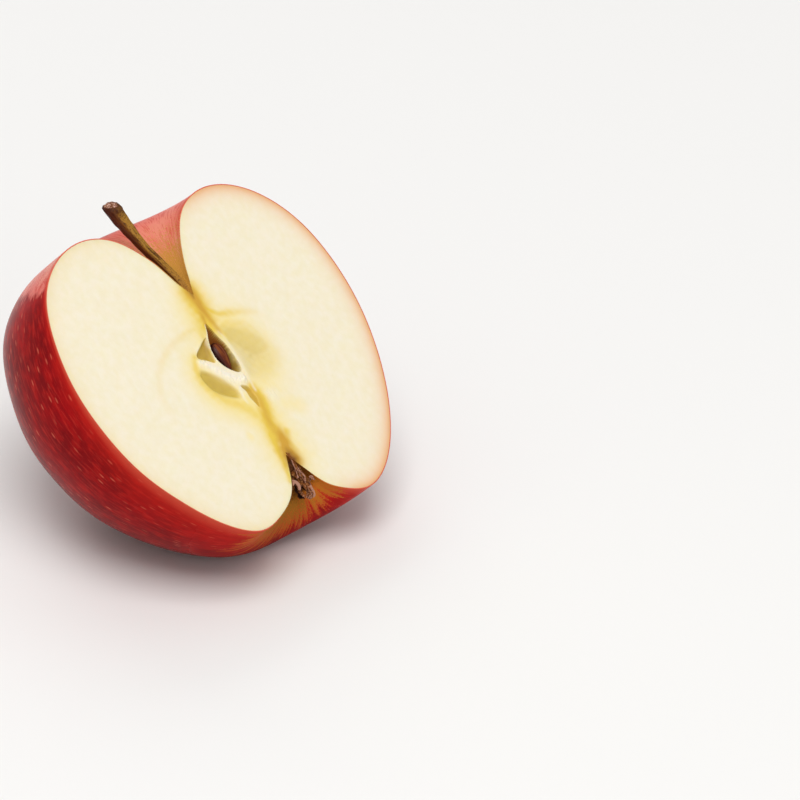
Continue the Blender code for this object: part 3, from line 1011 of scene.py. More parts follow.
@dataclass
class Flesh:
    """The flesh: the cut face with the hollows, ridges and stains of the core, over a hidden rounded back."""

    fruit: Fruit
    # How thick the skin is, and how far inside it the flesh begins
    skin_thickness: float = 0.2
    gap: float = 0.01
    rows: int = 300
    columns: int = 140
    back_columns: int = 26
    # How the rows are spread down the core line and the columns from the core line to the skin
    row_shares: tuple[float, ...] = (0.0, 0.11, 0.28, 0.5, 0.78, 0.9, 1.0)
    inner_heights: tuple[float, ...] = (11.0, 7.6, -1.0, -11.5, -17.8)
    column_shares: tuple[float, ...] = (0.0, 0.55, 0.85, 1.0)
    column_reach: tuple[float, ...] = (0.0, 0.28, 0.9, 1.0)
    seed_chamber: Hollow = Hollow(
        (
            (-1.1, 7.4), (-1.8, 6.0), (-2.55, 4.5), (-3.1, 3.1), (-3.4, 1.8), (-3.3, 0.5), (-2.7, -0.9),
            (-1.2, -2.5), (0.5, -3.4), (1.2, -2.8), (1.3, -0.6), (1.1, 1.3), (0.7, 2.9), (-0.2, 5.0),
        ),
        depth=3.6,
        olive=(0.95, 0.3),
        edge=0.22,
    )
    upper_pocket: Hollow = Hollow(
        (
            (-2.9, 4.9), (-4.7, 4.2), (-6.4, 3.2), (-7.7, 2.1), (-7.2, 1.4), (-6.1, 0.9), (-5.1, 0.3),
            (-4.1, -0.1), (-3.7, 0.9), (-3.4, 2.4), (-3.0, 3.9),
        ),
        depth=1.0,
        olive=(0.95, 0.4),
        edge=0.22,
    )
    lower_pocket: Hollow = Hollow(
        (
            (-8.7, -0.7), (-9.5, -1.4), (-9.4, -2.9), (-8.6, -4.7), (-7.0, -6.3), (-4.9, -7.4), (-3.2, -7.9),
            (-2.6, -7.4), (-2.8, -6.3), (-3.8, -4.7), (-5.3, -2.9), (-7.0, -1.5),
        ),
        depth=0.8,
        olive=(0.9, 1.5),
        edge=0.4,
        squareness=2.6,
    )
    small_slot: Hollow = Hollow(
        (
            (-1.3, -5.9), (-0.8, -7.0), (-0.6, -8.5), (-0.1, -10.0), (0.3, -11.0), (0.9, -9.3), (0.7, -7.6),
            (0.1, -6.3),
        ),
        depth=0.8,
        olive=(0.9, 0.4),
    )
    right_chamber_wall: Hollow = Hollow(
        (
            (2.1, 4.6), (6.1, 5.1), (8.9, 3.7), (11.2, 1.6), (12.2, -0.9), (12.0, -3.0), (10.0, -5.0),
            (7.1, -5.6), (3.8, -5.6), (2.4, -4.9), (2.1, -2.0), (2.0, 0.9),
        ),
        depth=0.7,
        olive=(0.3, 4.0),
        edge=1.6,
        squareness=2.0,
    )
    # Only a stain: the part of the right-hand wall that the seeds have lain against
    lens: Hollow = Hollow(
        ((2.0, 5.6), (5.7, 4.9), (8.7, 3.4), (10.9, 1.0), (11.2, -1.3), (7.7, -1.6), (4.9, 0.1), (2.9, 2.8)),
        depth=0.0,
        olive=(0.46, 2.6),
    )
    # How high each ridge stands: the papery strip, its two ends, a knot in the right lobe, the right-hand lip
    ridges: tuple[tuple[float, Stroke], ...] = (
        (
            0.24,
            Stroke(
                ((-8.0, 0.6), (-6.6, 0.0), (-5.0, -1.3), (-3.4, -2.9), (-1.4, -4.2), (0.0, -4.7)),
                (0.7, 1.0),
                (0.8, 1.0),
            ),
        ),
        (0.25, Stroke(((-0.4, -4.9), (0.1, -5.0)), (0.8, 0.8))),
        (0.2, Stroke(((-8.2, 0.7), (-7.8, 0.6)), (0.7, 0.7))),
        (0.16, Stroke(((4.3, -9.2), (4.9, -9.5), (5.5, -9.4)), (1.2, 1.2))),
        (0.07, Stroke(((1.0, 4.4), (1.6, 1.5), (1.7, -2.0), (1.4, -5.8)), (0.3, 0.35), (0.8, 1.0))),
    )
    ridge_ripples: tuple[Ripple, ...] = (Ripple(0.3, 1.9, 11), Ripple(0.35, 0.8, 13))
    hollow_ripple: Ripple = Ripple(0.06, 1.9, 12)
    strokes: tuple[tuple[Stain, tuple[Stroke, ...]], ...] = (
        (
            Stain.GLOW,
            (
                Stroke(((-0.6, 13.0), (-1.4, 9.0), (-1.5, 5.0)), (4.5, 7.0), (0.9, 0.7)),
                Stroke(((4.0, 4.5), (6.5, 2.0), (7.0, -3.0), (4.0, -7.0)), (5.5, 5.5), (0.9, 0.7)),
                Stroke(
                    ((-8.6, 1.0), (-9.4, -2.2), (-7.6, -6.6), (-3.4, -9.4), (-0.8, -12.4)),
                    (3.5, 4.5),
                    (0.8, 1.0),
                ),
                Stroke(((0.8, -9.0), (1.0, -13.0), (0.8, -17.0), (0.8, -21.0)), (4.0, 5.5), (0.9, 1.0)),
                Stroke(((7.0, -12.0), (10.0, -13.2)), (2.4, 2.0), (0.55, 0.5)),
                Stroke(((-5.9, -15.5), (-5.7, -15.7)), (1.1, 1.1), (0.6, 0.6)),
                Stroke(((-2.0, 2.0), (1.0, -8.0)), (13.0, 12.0), (0.12, 0.12)),
            ),
        ),
        (
            Stain.YELLOW,
            (
                Stroke(((-0.6, 14.2), (-0.4, 11.0), (-0.2, 8.6), (-0.9, 7.0)), (2.6, 2.9), (1.2, 1.1)),
                Stroke(((-1.4, 12.0), (-2.2, 9.4), (-3.1, 6.8), (-3.5, 5.4)), (1.6, 1.1), (0.6, 0.6)),
                Stroke(
                    ((0.6, 10.6), (2.4, 8.9), (5.0, 8.0), (8.0, 7.6), (11.0, 6.8), (14.2, 5.5)),
                    (0.9, 0.7),
                    (1.1, 0.05),
                ),
                Stroke(((0.1, 8.6), (0.9, 6.7), (1.6, 5.0), (2.4, 3.4)), (1.0, 0.9), (0.9, 0.4)),
                Stroke(((2.0, 6.0), (4.5, 6.1), (7.5, 5.2), (10.0, 3.4)), (0.8, 1.2), (0.5, 0.03)),
                Stroke(
                    (
                        (-8.3, 2.0), (-9.4, 0.1), (-9.9, -1.6), (-9.7, -3.6), (-8.5, -5.7), (-6.3, -7.9),
                        (-3.7, -9.6), (-1.4, -12.3),
                    ),
                    (0.8, 1.3),
                    (0.8, 0.5),
                ),
                Stroke(
                    ((1.3, -7.0), (2.0, -9.2), (1.6, -11.3), (0.5, -13.7), (0.4, -16.5)),
                    (1.1, 2.1),
                    (1.2, 1.2),
                ),
                Stroke(((0.1, -11.3), (-0.1, -14.0), (-0.6, -17.5)), (1.0, 1.6), (0.7, 1.2)),
                Stroke(((3.4, -17.0), (2.6, -18.4), (2.5, -20.4), (2.9, -22.6)), (0.9, 0.8), (0.8, 0.4)),
                Stroke(((-0.7, -17.0), (-1.2, -20.0), (-1.6, -23.0), (-2.6, -26.0)), (1.2, 0.6), (1.2, 0.8)),
                Stroke(
                    (
                        (-3.6, 7.3), (-7.6, 6.8), (-11.9, 5.8), (-16.2, 3.8), (-19.1, 1.4), (-20.8, -1.3),
                        (-21.7, -4.3), (-21.3, -7.5),
                    ),
                    (0.7, 1.0),
                    (0.35, 0.07),
                ),
            ),
        ),
        (
            Stain.ORANGE,
            (
                Stroke(
                    ((-0.4, 14.2), (-0.1, 12.1), (0.1, 10.0), (0.4, 8.4), (0.8, 6.8), (1.2, 5.0)),
                    (1.5, 0.45),
                    (1.3, 0.6),
                ),
                Stroke(((-0.7, 9.6), (-1.0, 8.2), (-1.3, 7.2)), (0.8, 0.4), (0.8, 0.8)),
                Stroke(
                    ((0.9, -7.4), (1.4, -9.2), (1.1, -11.4), (0.6, -14.0), (0.9, -16.4)),
                    (0.8, 1.1),
                    (0.6, 0.6),
                ),
                Stroke(((1.4, -16.9), (1.5, -18.2), (0.9, -20.4), (1.0, -22.5)), (1.2, 2.1), (1.0, 1.6)),
            ),
        ),
        (
            # Painted shade in the seed chamber and in the upper pocket beside it
            Stain.HOLLOW_SHADE,
            (
                Stroke(((-0.7, 6.0), (0.4, 2.5), (0.9, -1.0), (0.6, -2.6)), (1.3, 0.8), (1.0, 0.45)),
                Stroke(((-3.6, 3.6), (-4.6, 1.6), (-5.0, 0.6)), (1.1, 0.7), (0.5, 0.35)),
            ),
        ),
        (
            Stain.BROWN,
            (
                Stroke(((1.0, -20.4), (1.1, -22.4)), (0.6, 1.3), (0.4, 0.9)),
                Stroke(((-0.3, 14.4), (-0.4, 12.8)), (0.5, 0.3), (0.8, 0.3)),
            ),
        ),
        (
            Stain.PAPER,
            (
                Stroke(
                    ((-8.0, 0.7), (-6.7, 0.1), (-5.2, -1.1), (-3.6, -2.6), (-1.6, -4.1), (0.1, -4.6)),
                    (0.75, 1.1),
                    (0.95, 1.0),
                ),
                Stroke(((-1.7, -6.3), (-2.1, -8.0), (-2.0, -9.3)), (0.4, 0.3), (0.9, 0.4)),
                Stroke(
                    ((0.9, 5.2), (1.3, 4.2), (1.7, 2.1), (1.9, -0.5), (1.9, -3.0), (1.6, -5.8), (1.7, -7.6)),
                    (0.25, 0.35),
                    (0.3, 0.55),
                ),
                Stroke(
                    ((-1.4, 7.2), (-2.0, 5.9), (-2.8, 4.6), (-3.2, 3.3), (-3.4, 1.8), (-3.4, 0.4)),
                    (0.16, 0.22),
                    (0.5, 0.8),
                ),
                Stroke(((4.6, -9.4), (5.3, -9.5)), (1.3, 1.3), (0.6, 0.6)),
            ),
        ),
        # Painted shadow at the top of the seed slit
        (Stain.SLIT_SHADOW, (Stroke(((-0.9, 7.2), (-0.2, 5.4), (0.4, 3.4), (0.5, 2.6)), (1.1, 1.3)),)),
    )
    # How far the strokes are pushed about, along V and along U, and how unevenly they are faded
    push: tuple[Ripple, ...] = (Ripple(0.07, 2.6, 21), Ripple(0.07, 2.6, 22))
    fade: Ripple = Ripple(0.1, 1.7, 23)
    # Between which depths the hollows are painted darker, as painted shade, and the painted shadow at the top
    # of the seed slit shows
    hollow_shade_from: Point = (0.4, 1.8)
    hollow_shade_share: float = 0.9
    slit_shadow_from: Point = (0.15, 0.7)
    # The red under the skin, on the right and the left lobe, grows between these distances from the core line
    blush: tuple[tuple[Lobe, float], ...] = ((Lobe.RIGHT, 1.0), (Lobe.LEFT, 0.15))
    blush_from: Point = (6.0, 16.0)
    blush_width: float = 1.3
    rind: float = 0.36
    rind_width: float = 1.4

    def depth(self) -> float:
        """How far the flesh's side lies under the skin."""
        return self.skin_thickness + self.gap

    def shares(self) -> Array:
        """How far down the section each row is."""
        return np.linspace(0.0, 1.0, self.rows + 1)

    def hollows(self) -> tuple[Hollow, ...]:
        """The hollows that have a depth."""
        left = (self.upper_pocket, self.lower_pocket)
        return (self.seed_chamber, *left, self.small_slot, self.right_chamber_wall)

    def relief(self, points: Array) -> Array:
        """The deepest hollow at each point, with the sum of the ridges on top, both made a little uneven.

        Args:
            points: (V, U) points.

        Returns:
            How far out of the cut face each point lies.
        """
        fall = np.max([hollow.fall(points) for hollow in self.hollows()], axis=0)
        rise = sum(height * stroke.cover(points) for height, stroke in self.ridges)
        rise = rise * (1.0 + sum(ripple.at(points) for ripple in self.ridge_ripples))
        return rise - fall * (1.0 + self.hollow_ripple.at(points))

    def stains(self, points: Array, out: Array, to_rim: Array, lobe: Lobe) -> dict[str, Array]:
        """How strongly each stain colours each point of the cut face.

        The strokes are warped and faded by uneven waves. Hollows are painted darker with their depth, as
        painted shade, and the top of the seed slit with brown painted shadow. The blush and the rind fall off
        as exp(-d / width), where d is the distance from the skin.

        Args:
            points: (V, U) points.
            out: How far out of the cut face each point lies.
            to_rim: Each point's distance from the skin, in millimetres.
            lobe: The lobe that they are on.

        Returns:
            For each stain's name, its strength at each point.
        """
        warped = points + np.stack([ripple.at(points) for ripple in self.push], axis=-1)
        fade = 1.0 + self.fade.at(points)
        found = {stain: np.zeros(points.shape[:-1]) for stain in Stain}
        for stain, strokes in self.strokes:
            found[stain] = fade * np.max([stroke.cover(warped) for stroke in strokes], axis=0)
        olive = [hollow.stain(points) for hollow in self.hollows()]
        found[Stain.OLIVE] = np.max([*olive, self.lens.stain(warped)], axis=0)
        # Painted shade: the hollows darken with depth, and the top of the seed slit gets brown painted shadow
        inside = smooth(*self.slit_shadow_from, -out)
        deep = self.hollow_shade_share * smooth(*self.hollow_shade_from, -out)
        found[Stain.HOLLOW_SHADE] = np.maximum(found[Stain.HOLLOW_SHADE] * inside, deep)
        found[Stain.SLIT_SHADOW] *= inside
        outer = smooth(*self.blush_from, np.abs(points[..., 0]))
        found[Stain.BLUSH] = dict(self.blush)[lobe] * outer * np.exp(-to_rim / self.blush_width)
        found[Stain.RIND] = self.rind * np.exp(-to_rim / self.rind_width)
        return {stain.name.lower(): np.clip(share, 0.0, 1.0) for stain, share in found.items()}

    def face(self, lobe: Lobe) -> Patch:
        """One lobe of the cut face: straight lines from the core line to the rim, closest in the core.

        Where the relief ends, at the rim and on the first and the last row, the face is flat.

        Args:
            lobe: Which lobe.

        Returns:
            The lobe's surface with its stains.
        """
        shares = self.shares()
        rim = self.fruit.outline(shares, lobe, self.depth())
        heights = np.array((rim[0, 1], *self.inner_heights, rim[-1, 1]))
        core = np.stack([np.zeros_like(shares), np.interp(shares, self.row_shares, heights)], axis=-1)
        reach = np.interp(np.linspace(0.0, 1.0, self.columns + 1), self.column_shares, self.column_reach)
        points = core[:, None] + (rim - core)[:, None] * reach[None, :, None]
        along = np.gradient(rim, axis=0)
        along /= np.linalg.norm(along, axis=1)[:, None]
        to_rim = (1.0 - reach)[None, :] * np.abs(np.cross(rim - core, along))[:, None]
        out = self.relief(points)
        out[:, -1] = 0.0
        out[[0, -1]] = 0.0
        paint = self.stains(points, out, to_rim, lobe)
        return Patch(np.concatenate([points, out[..., None]], axis=-1), paint)

    def piece(self) -> Piece:
        """The two lobes of the cut face and the rounded back that closes them.

        Coordinates that are all but zero are made zero, so that the three patches meet in the same points.

        Returns:
            The piece, ready to build.
        """
        turn = np.linspace(0.0, math.pi, self.back_columns + 1)
        back = self.fruit.surface(self.shares(), turn, self.depth())
        plain = {stain.name.lower(): np.zeros(back.shape[:-1]) for stain in Stain}
        patches = [self.face(Lobe.RIGHT), self.face(Lobe.LEFT), Patch(back, plain, None, self.depth())]
        for patch in patches:
            patch.points[np.abs(patch.points) < NEAR_ZERO] = 0.0
        return Piece("flesh", "apple", "apple_half", patches, MoistFlesh().material())


@dataclass
class Stem:
    """The stem: rings round a line from its foot to its broken tip, furrowed and lumpy."""

    # V, U and W of points of the line, and the radius there
    line: tuple[tuple[float, float, float, float], ...] = (
        (-0.1, 12.8, -1.0, 0.60),
        (-0.2, 15.6, -1.1, 0.76),
        (-1.0, 19.0, -1.4, 0.86),
        (-3.1, 24.8, -1.85, 0.92),
        (-3.95, 28.3, -2.1, 0.96),
        (-4.5, 31.2, -2.25, 1.12),
        (-4.85, 33.4, -2.3, 1.40),
        (-5.25, 35.5, -2.3, 1.62),
    )
    # The length and the mean radius, by which the waves and the bark's patterns are laid out
    length: float = 23.0
    mean_radius: float = 0.9
    sides: int = 72
    steps: int = 220
    # Waves round the stem and along it: furrows, lumps that fade in and out, and the knob's own lumps
    furrows: tuple[Wave, ...] = (Wave(0.05, 5.0, 0.25), Wave(0.035, 11.0, -0.4))
    lumps: Wave = Wave(0.05, 2.0, 1.1)
    lumps_fade: Wave = Wave(1.0, 0.0, 0.9, 1.0)
    knob_lumps: tuple[Wave, ...] = (Wave(0.05, 3.0, 1.7, 0.6), Wave(0.04, 7.0, 2.6))
    knob_from: Point = (0.72, 0.97)
    # The broken end leans towards V and W, is drawn in all round it, and is nipped off on the far side
    slant: Point = (-0.08, 0.8)
    slant_ease: int = 4
    rounding: float = 0.12
    rounding_from: Point = (0.96, 1.0)
    nip: float = 0.42
    nip_from: Point = (0.91, 1.0)
    # The end faces: how far they bulge, and how the torn fibres wave round the stem and outwards
    cap_steps: int = 14
    dome: float = 0.4
    torn: Wave = Wave(0.12, 9.0, 0.0, 3.0)
    torn_rings: float = 7.0
    torn_rim: Point = (0.0, 0.25)
    # The side painted dark, as painted shade, and the side painted ochre, as painted highlight, with the
    # cosines between which each grows
    painted_shade_angle: float = math.radians(230.0)
    painted_shade_from: Point = (-0.3, 0.8)
    painted_light_angle: float = math.radians(70.0)
    painted_light_from: Point = (-0.1, 0.8)
    foot_until: Point = (0.1, 0.45)

    def piece(self) -> Piece:
        """Rings of radius r (1 + furrows + lumps), drawn in and leant at the broken end, shut at both ends.

        A ring's point at angle a lies cos a across the line and sin a out of the cut face. An end face is its
        ring times s, from 1 to 0, and torn fibres stand on it as high as sin 7s times s (1 - s).

        Returns:
            The piece, ready to build.
        """
        shares = np.linspace(0.0, 1.0, self.steps + 1)
        along = curve_at([point[:3] for point in self.line], shares)
        radius = curve_at([(point[3], 0.0) for point in self.line], shares)[:, :1]
        heading, side, out = ring_frame(along)
        shares = shares[:, None]
        angle = full_turn(self.sides)
        length = shares * self.length
        knob = smooth(*self.knob_from, shares)
        bumps = sum(wave.at(angle, length) for wave in self.furrows)
        bumps += self.lumps.at(angle, length) * self.lumps_fade.at(angle, length)
        bumps += knob * sum(wave.at(angle, length) for wave in self.knob_lumps)
        size = radius * (1.0 + bumps) * (1.0 - self.rounding * smooth(*self.rounding_from, shares) ** 2)
        size *= 1.0 - self.nip * smooth(*self.nip_from, shares) ** 2 * np.clip(-np.sin(angle), 0.0, 1.0) ** 2
        slant = self.slant[0] * np.cos(angle) + self.slant[1] * np.sin(angle)
        lean = knob**self.slant_ease * slant * size
        rings = along[:, None] - heading[:, None] * lean[..., None]
        rings = rings + side[:, None] * (size * np.cos(angle))[..., None]
        rings = rings + out[:, None] * (size * np.sin(angle))[..., None]
        rings[:, -1] = rings[:, 0]
        # Painted shade on one side of the stem and painted highlight on the other
        painted_shade_side = smooth(*self.painted_shade_from, np.cos(angle - self.painted_shade_angle))
        painted_light_side = smooth(*self.painted_light_from, np.cos(angle - self.painted_light_angle))
        foot = 1.0 - smooth(*self.foot_until, shares)
        paint = self.paint(rings, knob=knob, worn=0.0, foot=foot, painted_shade_side=painted_shade_side, painted_light_side=painted_light_side)
        patches = [Patch(rings, paint, self.flat(angle, length))]
        shrink = np.linspace(1.0, 0.0, self.cap_steps + 1)[:, None]
        torn = self.torn.at(angle, shrink) * np.sin(self.torn_rings * shrink) * shrink * (1.0 - shrink)
        for row, way in ((0, -1.0), (-1, 1.0)):
            end = along[row] + way * heading[row] * self.dome
            cap = end + (rings[row] - end) * shrink[..., None] + heading[row] * torn[..., None]
            worn = smooth(*self.torn_rim, 1.0 - shrink) * (1.0 if row else 0.0)
            paint = self.paint(cap, knob=knob[row], worn=worn, foot=foot[row], painted_shade_side=painted_shade_side * shrink, painted_light_side=0.0)
            patches.append(Patch(cap, paint, self.flat(angle, length[row] + shrink)))
        return Piece("stem_bark", "stem", "stem", patches, DryBark().material())

    def paint(self, points: Array, **shares: Any) -> dict[str, Array]:
        """Spreads each marking's strength, one number or one for each ring or side, over the points."""
        return {name: np.broadcast_to(share, points.shape[:-1]).copy() for name, share in shares.items()}

    def flat(self, angle: Array, length: Array) -> Array:
        """The bark laid flat, in millimetres: round the stem, and along it."""
        return np.stack(np.broadcast_arrays(angle * self.mean_radius, length), axis=-1)


@dataclass
class Seed:
    """The seed: a flattened drop with its narrow end to the calyx, leant a little across the core line."""

    middle: Place = (-0.5, 0.7, -1.35)
    length: float = 6.2
    width: float = 3.0
    thickness: float = 2.2
    taper: float = 0.34
    lean: float = 6.0
    rings: int = 90
    sides: int = 96
    # The dark edge, partly the seed's own darker margin and partly painted shade, grows as |cos a| or |t|
    # to the power of the tips' ease goes from one of these to the other
    edge_from: Point = (0.5, 0.9)
    tip_ease: int = 3

    def piece(self) -> Piece:
        """Rings of half-width sqrt(1 - t^2) (1 + taper t) along the seed, where t runs from 1 to -1.

        Returns:
            The piece, ready to build.
        """
        along = np.cos(np.linspace(0.0, math.pi, self.rings + 1))[:, None]
        angle = full_turn(self.sides)
        size = np.sqrt(np.maximum(1.0 - along**2, 0.0)) * (1.0 + self.taper * along)
        v = self.width / 2.0 * size * np.cos(angle)
        u = self.length / 2.0 * along
        w = self.thickness / 2.0 * size * np.sin(angle)
        cos, sin = math.cos(math.radians(self.lean)), math.sin(math.radians(self.lean))
        points = closed(np.stack([v * cos - u * sin, v * sin + u * cos, w], axis=-1))
        # The dark edge along the margins and the tips, partly painted shade
        edge = smooth(*self.edge_from, np.maximum(np.abs(np.cos(angle)), np.abs(along) ** self.tip_ease))
        flat = np.stack(np.broadcast_arrays(angle * self.width / 2.0, u), axis=-1)
        patch = Patch(points + np.array(self.middle), {"edge": edge}, flat)
        return Piece("brown_seed", "seed", "seed", [patch], SeedCoat().material())


@dataclass(frozen=True)
class Sepal:
    """One dried sepal: its path from the heart to its curled tip, its half-width and its colouring."""

    path: tuple[Place, ...]
    width: float
    bleached: float
    # How black it is painted, as painted shadow, where it lies in the basin's deep shade
    painted_shadow: float = 0.0


@dataclass
class Calyx:
    """The dried calyx: a woody heart, sepals that run from it to curled tips, stamens and core threads."""

    heart: Place = (0.7, -23.1, -1.7)
    radius: float = 1.4
    heart_rows: int = 40
    heart_columns: int = 60
    heart_crumple: tuple[Wave, ...] = (Wave(0.06, 7.0, 4.0), Wave(0.05, 3.0, 11.0))
    # The heart is painted darker, as painted shadow
    heart_painted_shadow: float = 0.7
    sepals: tuple[Sepal, ...] = (
        Sepal(
            (
                (0.0, -25.6, -2.0), (-1.8, -27.1, -1.7), (-2.2, -26.7, -0.8), (-1.2, -26.3, -0.45),
                (-0.4, -27.3, -0.5), (-0.6, -28.2, -0.9),
            ),
            width=0.55,
            bleached=0.9,
        ),
        Sepal(
            (
                (0.6, -26.2, -1.9), (0.3, -28.3, -1.7), (0.4, -29.7, -1.0), (1.0, -30.1, -0.45),
                (1.4, -29.4, -0.2),
            ),
            width=0.45,
            bleached=0.4,
        ),
        Sepal(
            (
                (2.2, -25.6, -1.0), (2.6, -27.3, -0.7), (2.3, -28.6, -0.6), (2.2, -29.8, -0.6),
                (1.6, -30.3, -0.9),
            ),
            width=0.3,
            bleached=0.8,
        ),
        Sepal(
            (
                (2.4, -24.9, -1.5), (3.3, -26.1, -1.4), (4.2, -26.9, -1.1), (3.9, -27.1, -0.5),
                (3.0, -26.5, -0.5),
            ),
            width=0.6,
            bleached=0.6,
        ),
        Sepal(((0.7, -25.2, -0.9), (0.9, -27.2, -0.9), (1.3, -28.9, -1.1), (0.7, -29.7, -1.4)), 0.6, 0.3),
        Sepal(((1.6, -25.5, -0.9), (1.8, -27.6, -0.9), (1.6, -29.2, -0.7), (1.0, -29.9, -0.5)), 0.5, 0.35),
        # These three sepals stand in the dark gap of the basin and are painted nearly black, as painted
        # shadow
        Sepal(((1.2, -25.6, -2.7), (1.3, -28.4, -2.9), (1.0, -29.5, -2.6)), 1.0, 0.0, painted_shadow=1.0),
        Sepal(((0.9, -24.6, -2.4), (0.9, -25.7, -2.9)), 0.9, 0.0, painted_shadow=1.0),
        Sepal(((1.6, -25.2, -2.2), (2.4, -27.0, -2.4), (2.4, -28.6, -2.0)), 0.9, 0.0, painted_shadow=0.85),
    )
    # Half the thickness at the heart and at the tip, the share of the width that the tip has lost, how the
    # width and the trough wave along each sepal, and where it starts and ends to bleach
    sepal_thickness: Point = (0.154, 0.098)
    sepal_taper: float = 0.45
    sepal_taper_ease: int = 3
    sepal_crinkle: tuple[Wave, ...] = (Wave(0.15, 23.0, 2.1), Wave(0.1, 41.0, 1.0))
    sepal_trough: Wave = Wave(0.45, 5.0, 1.0)
    sepal_bleached: Point = (0.35, 0.75)
    sepal_sides: int = 40
    steps: int = 60
    # The stamens' bend and tip are drawn at random. Each has its mean and its spread, seen from the heart and
    # from the bend
    seed: int = 7
    stamens: int = 22
    stamen_bend: tuple[Place, Place] = ((0.5, -2.0, 0.7), (0.6, 0.5, 0.4))
    stamen_tip: tuple[Place, Place] = ((0.3, -1.5, 0.0), (0.6, 0.6, 0.4))
    stamen_highest: float = 0.2
    stamen_radius: float = 0.08
    stamen_bleached: float = 0.5
    anther: float = 0.8
    anther_from: Point = (0.85, 0.95)
    # The start, the middle and the end of the first and the last thread, how the ends of all are staggered
    # along U and W, and how each wavers and thickens
    threads: int = 12
    first_thread: tuple[Place, ...] = ((0.3, -20.7, -0.02), (0.7, -23.6, -0.1), (0.3, -26.3, -0.6))
    last_thread: tuple[Place, ...] = ((1.0, -21.2, -0.02), (2.0, -23.6, -0.6), (2.0, -26.3, -0.6))
    thread_stagger: tuple[Wave, ...] = (Wave(-1.2, 9.0, 0.0), Wave(0.4, 7.0, 0.0, math.pi / 2.0))
    thread_waver: tuple[Ripple, ...] = (Ripple(0.3, 3.0, 40), Ripple(0.3, 3.0, 60), Ripple(0.3, 3.0, 80))
    thread_beads: Wave = Wave(0.4, 7.0, 1.0)
    thread_radius: float = 0.09
    thread_flatness: float = 1.5
    # How pale most threads are and every third one is, from this share of its length on
    thread_bleached: Point = (0.1, 0.6)
    thread_pale_every: int = 3
    thread_pale_from: float = 0.6
    thread_sides: int = 12

    def lump(self) -> Patch:
        """The heart: a ball of radius r (1 + crumple sin^2 p), where p is the angle from its pole.

        Returns:
            The ball's surface.
        """
        polar = np.linspace(0.0, math.pi, self.heart_rows + 1)[:, None]
        angle = full_turn(self.heart_columns)
        crumple = sum(wave.at(angle, polar) for wave in self.heart_crumple)
        size = self.radius * (1.0 + crumple * np.sin(polar) ** 2)
        across = size * np.sin(polar)
        ball = np.stack([across * np.cos(angle), size * np.cos(polar), across * np.sin(angle)], axis=-1)
        ball = closed(ball)
        plain = np.zeros(ball.shape[:-1])
        paint = {"bleached": plain, "painted_shadow": plain + self.heart_painted_shadow}
        return Patch(ball + np.array(self.heart), paint)

    def tube(
        self,
        line: Array,
        across: Array,
        out: Array,
        trough: Array,
        bleached: Array,
        painted_shadow: float,
        sides: int,
    ) -> Patch:
        """A closed tube along a line, flattened and bent into a trough.

        A ring's point at angle a lies across cos a beside the line and out sin a + trough cos^2 a above it.
        The first and the last ring have shrunk to a point.

        Args:
            line: Points of the line.
            across: Half-width at each point.
            out: Half-thickness at each point.
            trough: How far the two edges stand up at each point.
            bleached: How pale the piece is at each point.
            painted_shadow: How black it is painted, as painted shadow.
            sides: How many faces go round it.

        Returns:
            The tube's surface.
        """
        side, face = ring_frame(line)[1:]
        angle = full_turn(sides)
        v = across[:, None] * np.cos(angle)
        w = out[:, None] * np.sin(angle) + trough[:, None] * np.cos(angle) ** 2
        points = line[:, None] + side[:, None] * v[..., None] + face[:, None] * w[..., None]
        points[:, -1] = points[:, 0]
        points[0] = line[0]
        points[-1] = line[-1]
        pale = np.broadcast_to(bleached[:, None], points.shape[:-1]).copy()
        return Patch(points, {"bleached": pale, "painted_shadow": np.full(pale.shape, painted_shadow)})

    def sepal(self, sepal: Sepal, number: int, shares: Array) -> Patch:
        """A sepal: a broad flat tube whose width and trough wave along it, and which is narrower at its tip.

        Args:
            sepal: Its path, width and colouring.
            number: Its number, which starts its waves.
            shares: How far along it each ring is.

        Returns:
            Its surface.
        """
        line = curve_at([self.heart, *sepal.path], shares)
        crinkle = sum(wave.at(shares, number) for wave in self.sepal_crinkle)
        width = sepal.width * (1.0 - self.sepal_taper * shares**self.sepal_taper_ease) * (1.0 + crinkle)
        trough = width * self.sepal_trough.at(shares, number)
        bleached = sepal.bleached * smooth(*self.sepal_bleached, shares)
        thickness = between(self.sepal_thickness, shares)
        return self.tube(line, width, thickness, trough, bleached, sepal.painted_shadow, self.sepal_sides)

    def stamen(self, draw: np.random.Generator, shares: Array) -> Patch:
        """A stamen: a thin tube from the heart over a bend to its tip, where the anther thickens it.

        Args:
            draw: What the bend and the tip are drawn from.
            shares: How far along it each ring is.

        Returns:
            Its surface.
        """
        bend = np.array(self.heart) + draw.normal(*self.stamen_bend)
        tip = bend + draw.normal(*self.stamen_tip)
        tip[2] = min(tip[2], self.stamen_highest)
        radius = self.stamen_radius * (1.0 + self.anther * smooth(*self.anther_from, shares))
        line = curve_at([self.heart, bend, tip], shares)
        pale = self.stamen_bleached * shares
        return self.tube(line, radius, radius, np.zeros_like(shares), pale, 0.0, self.thread_sides)

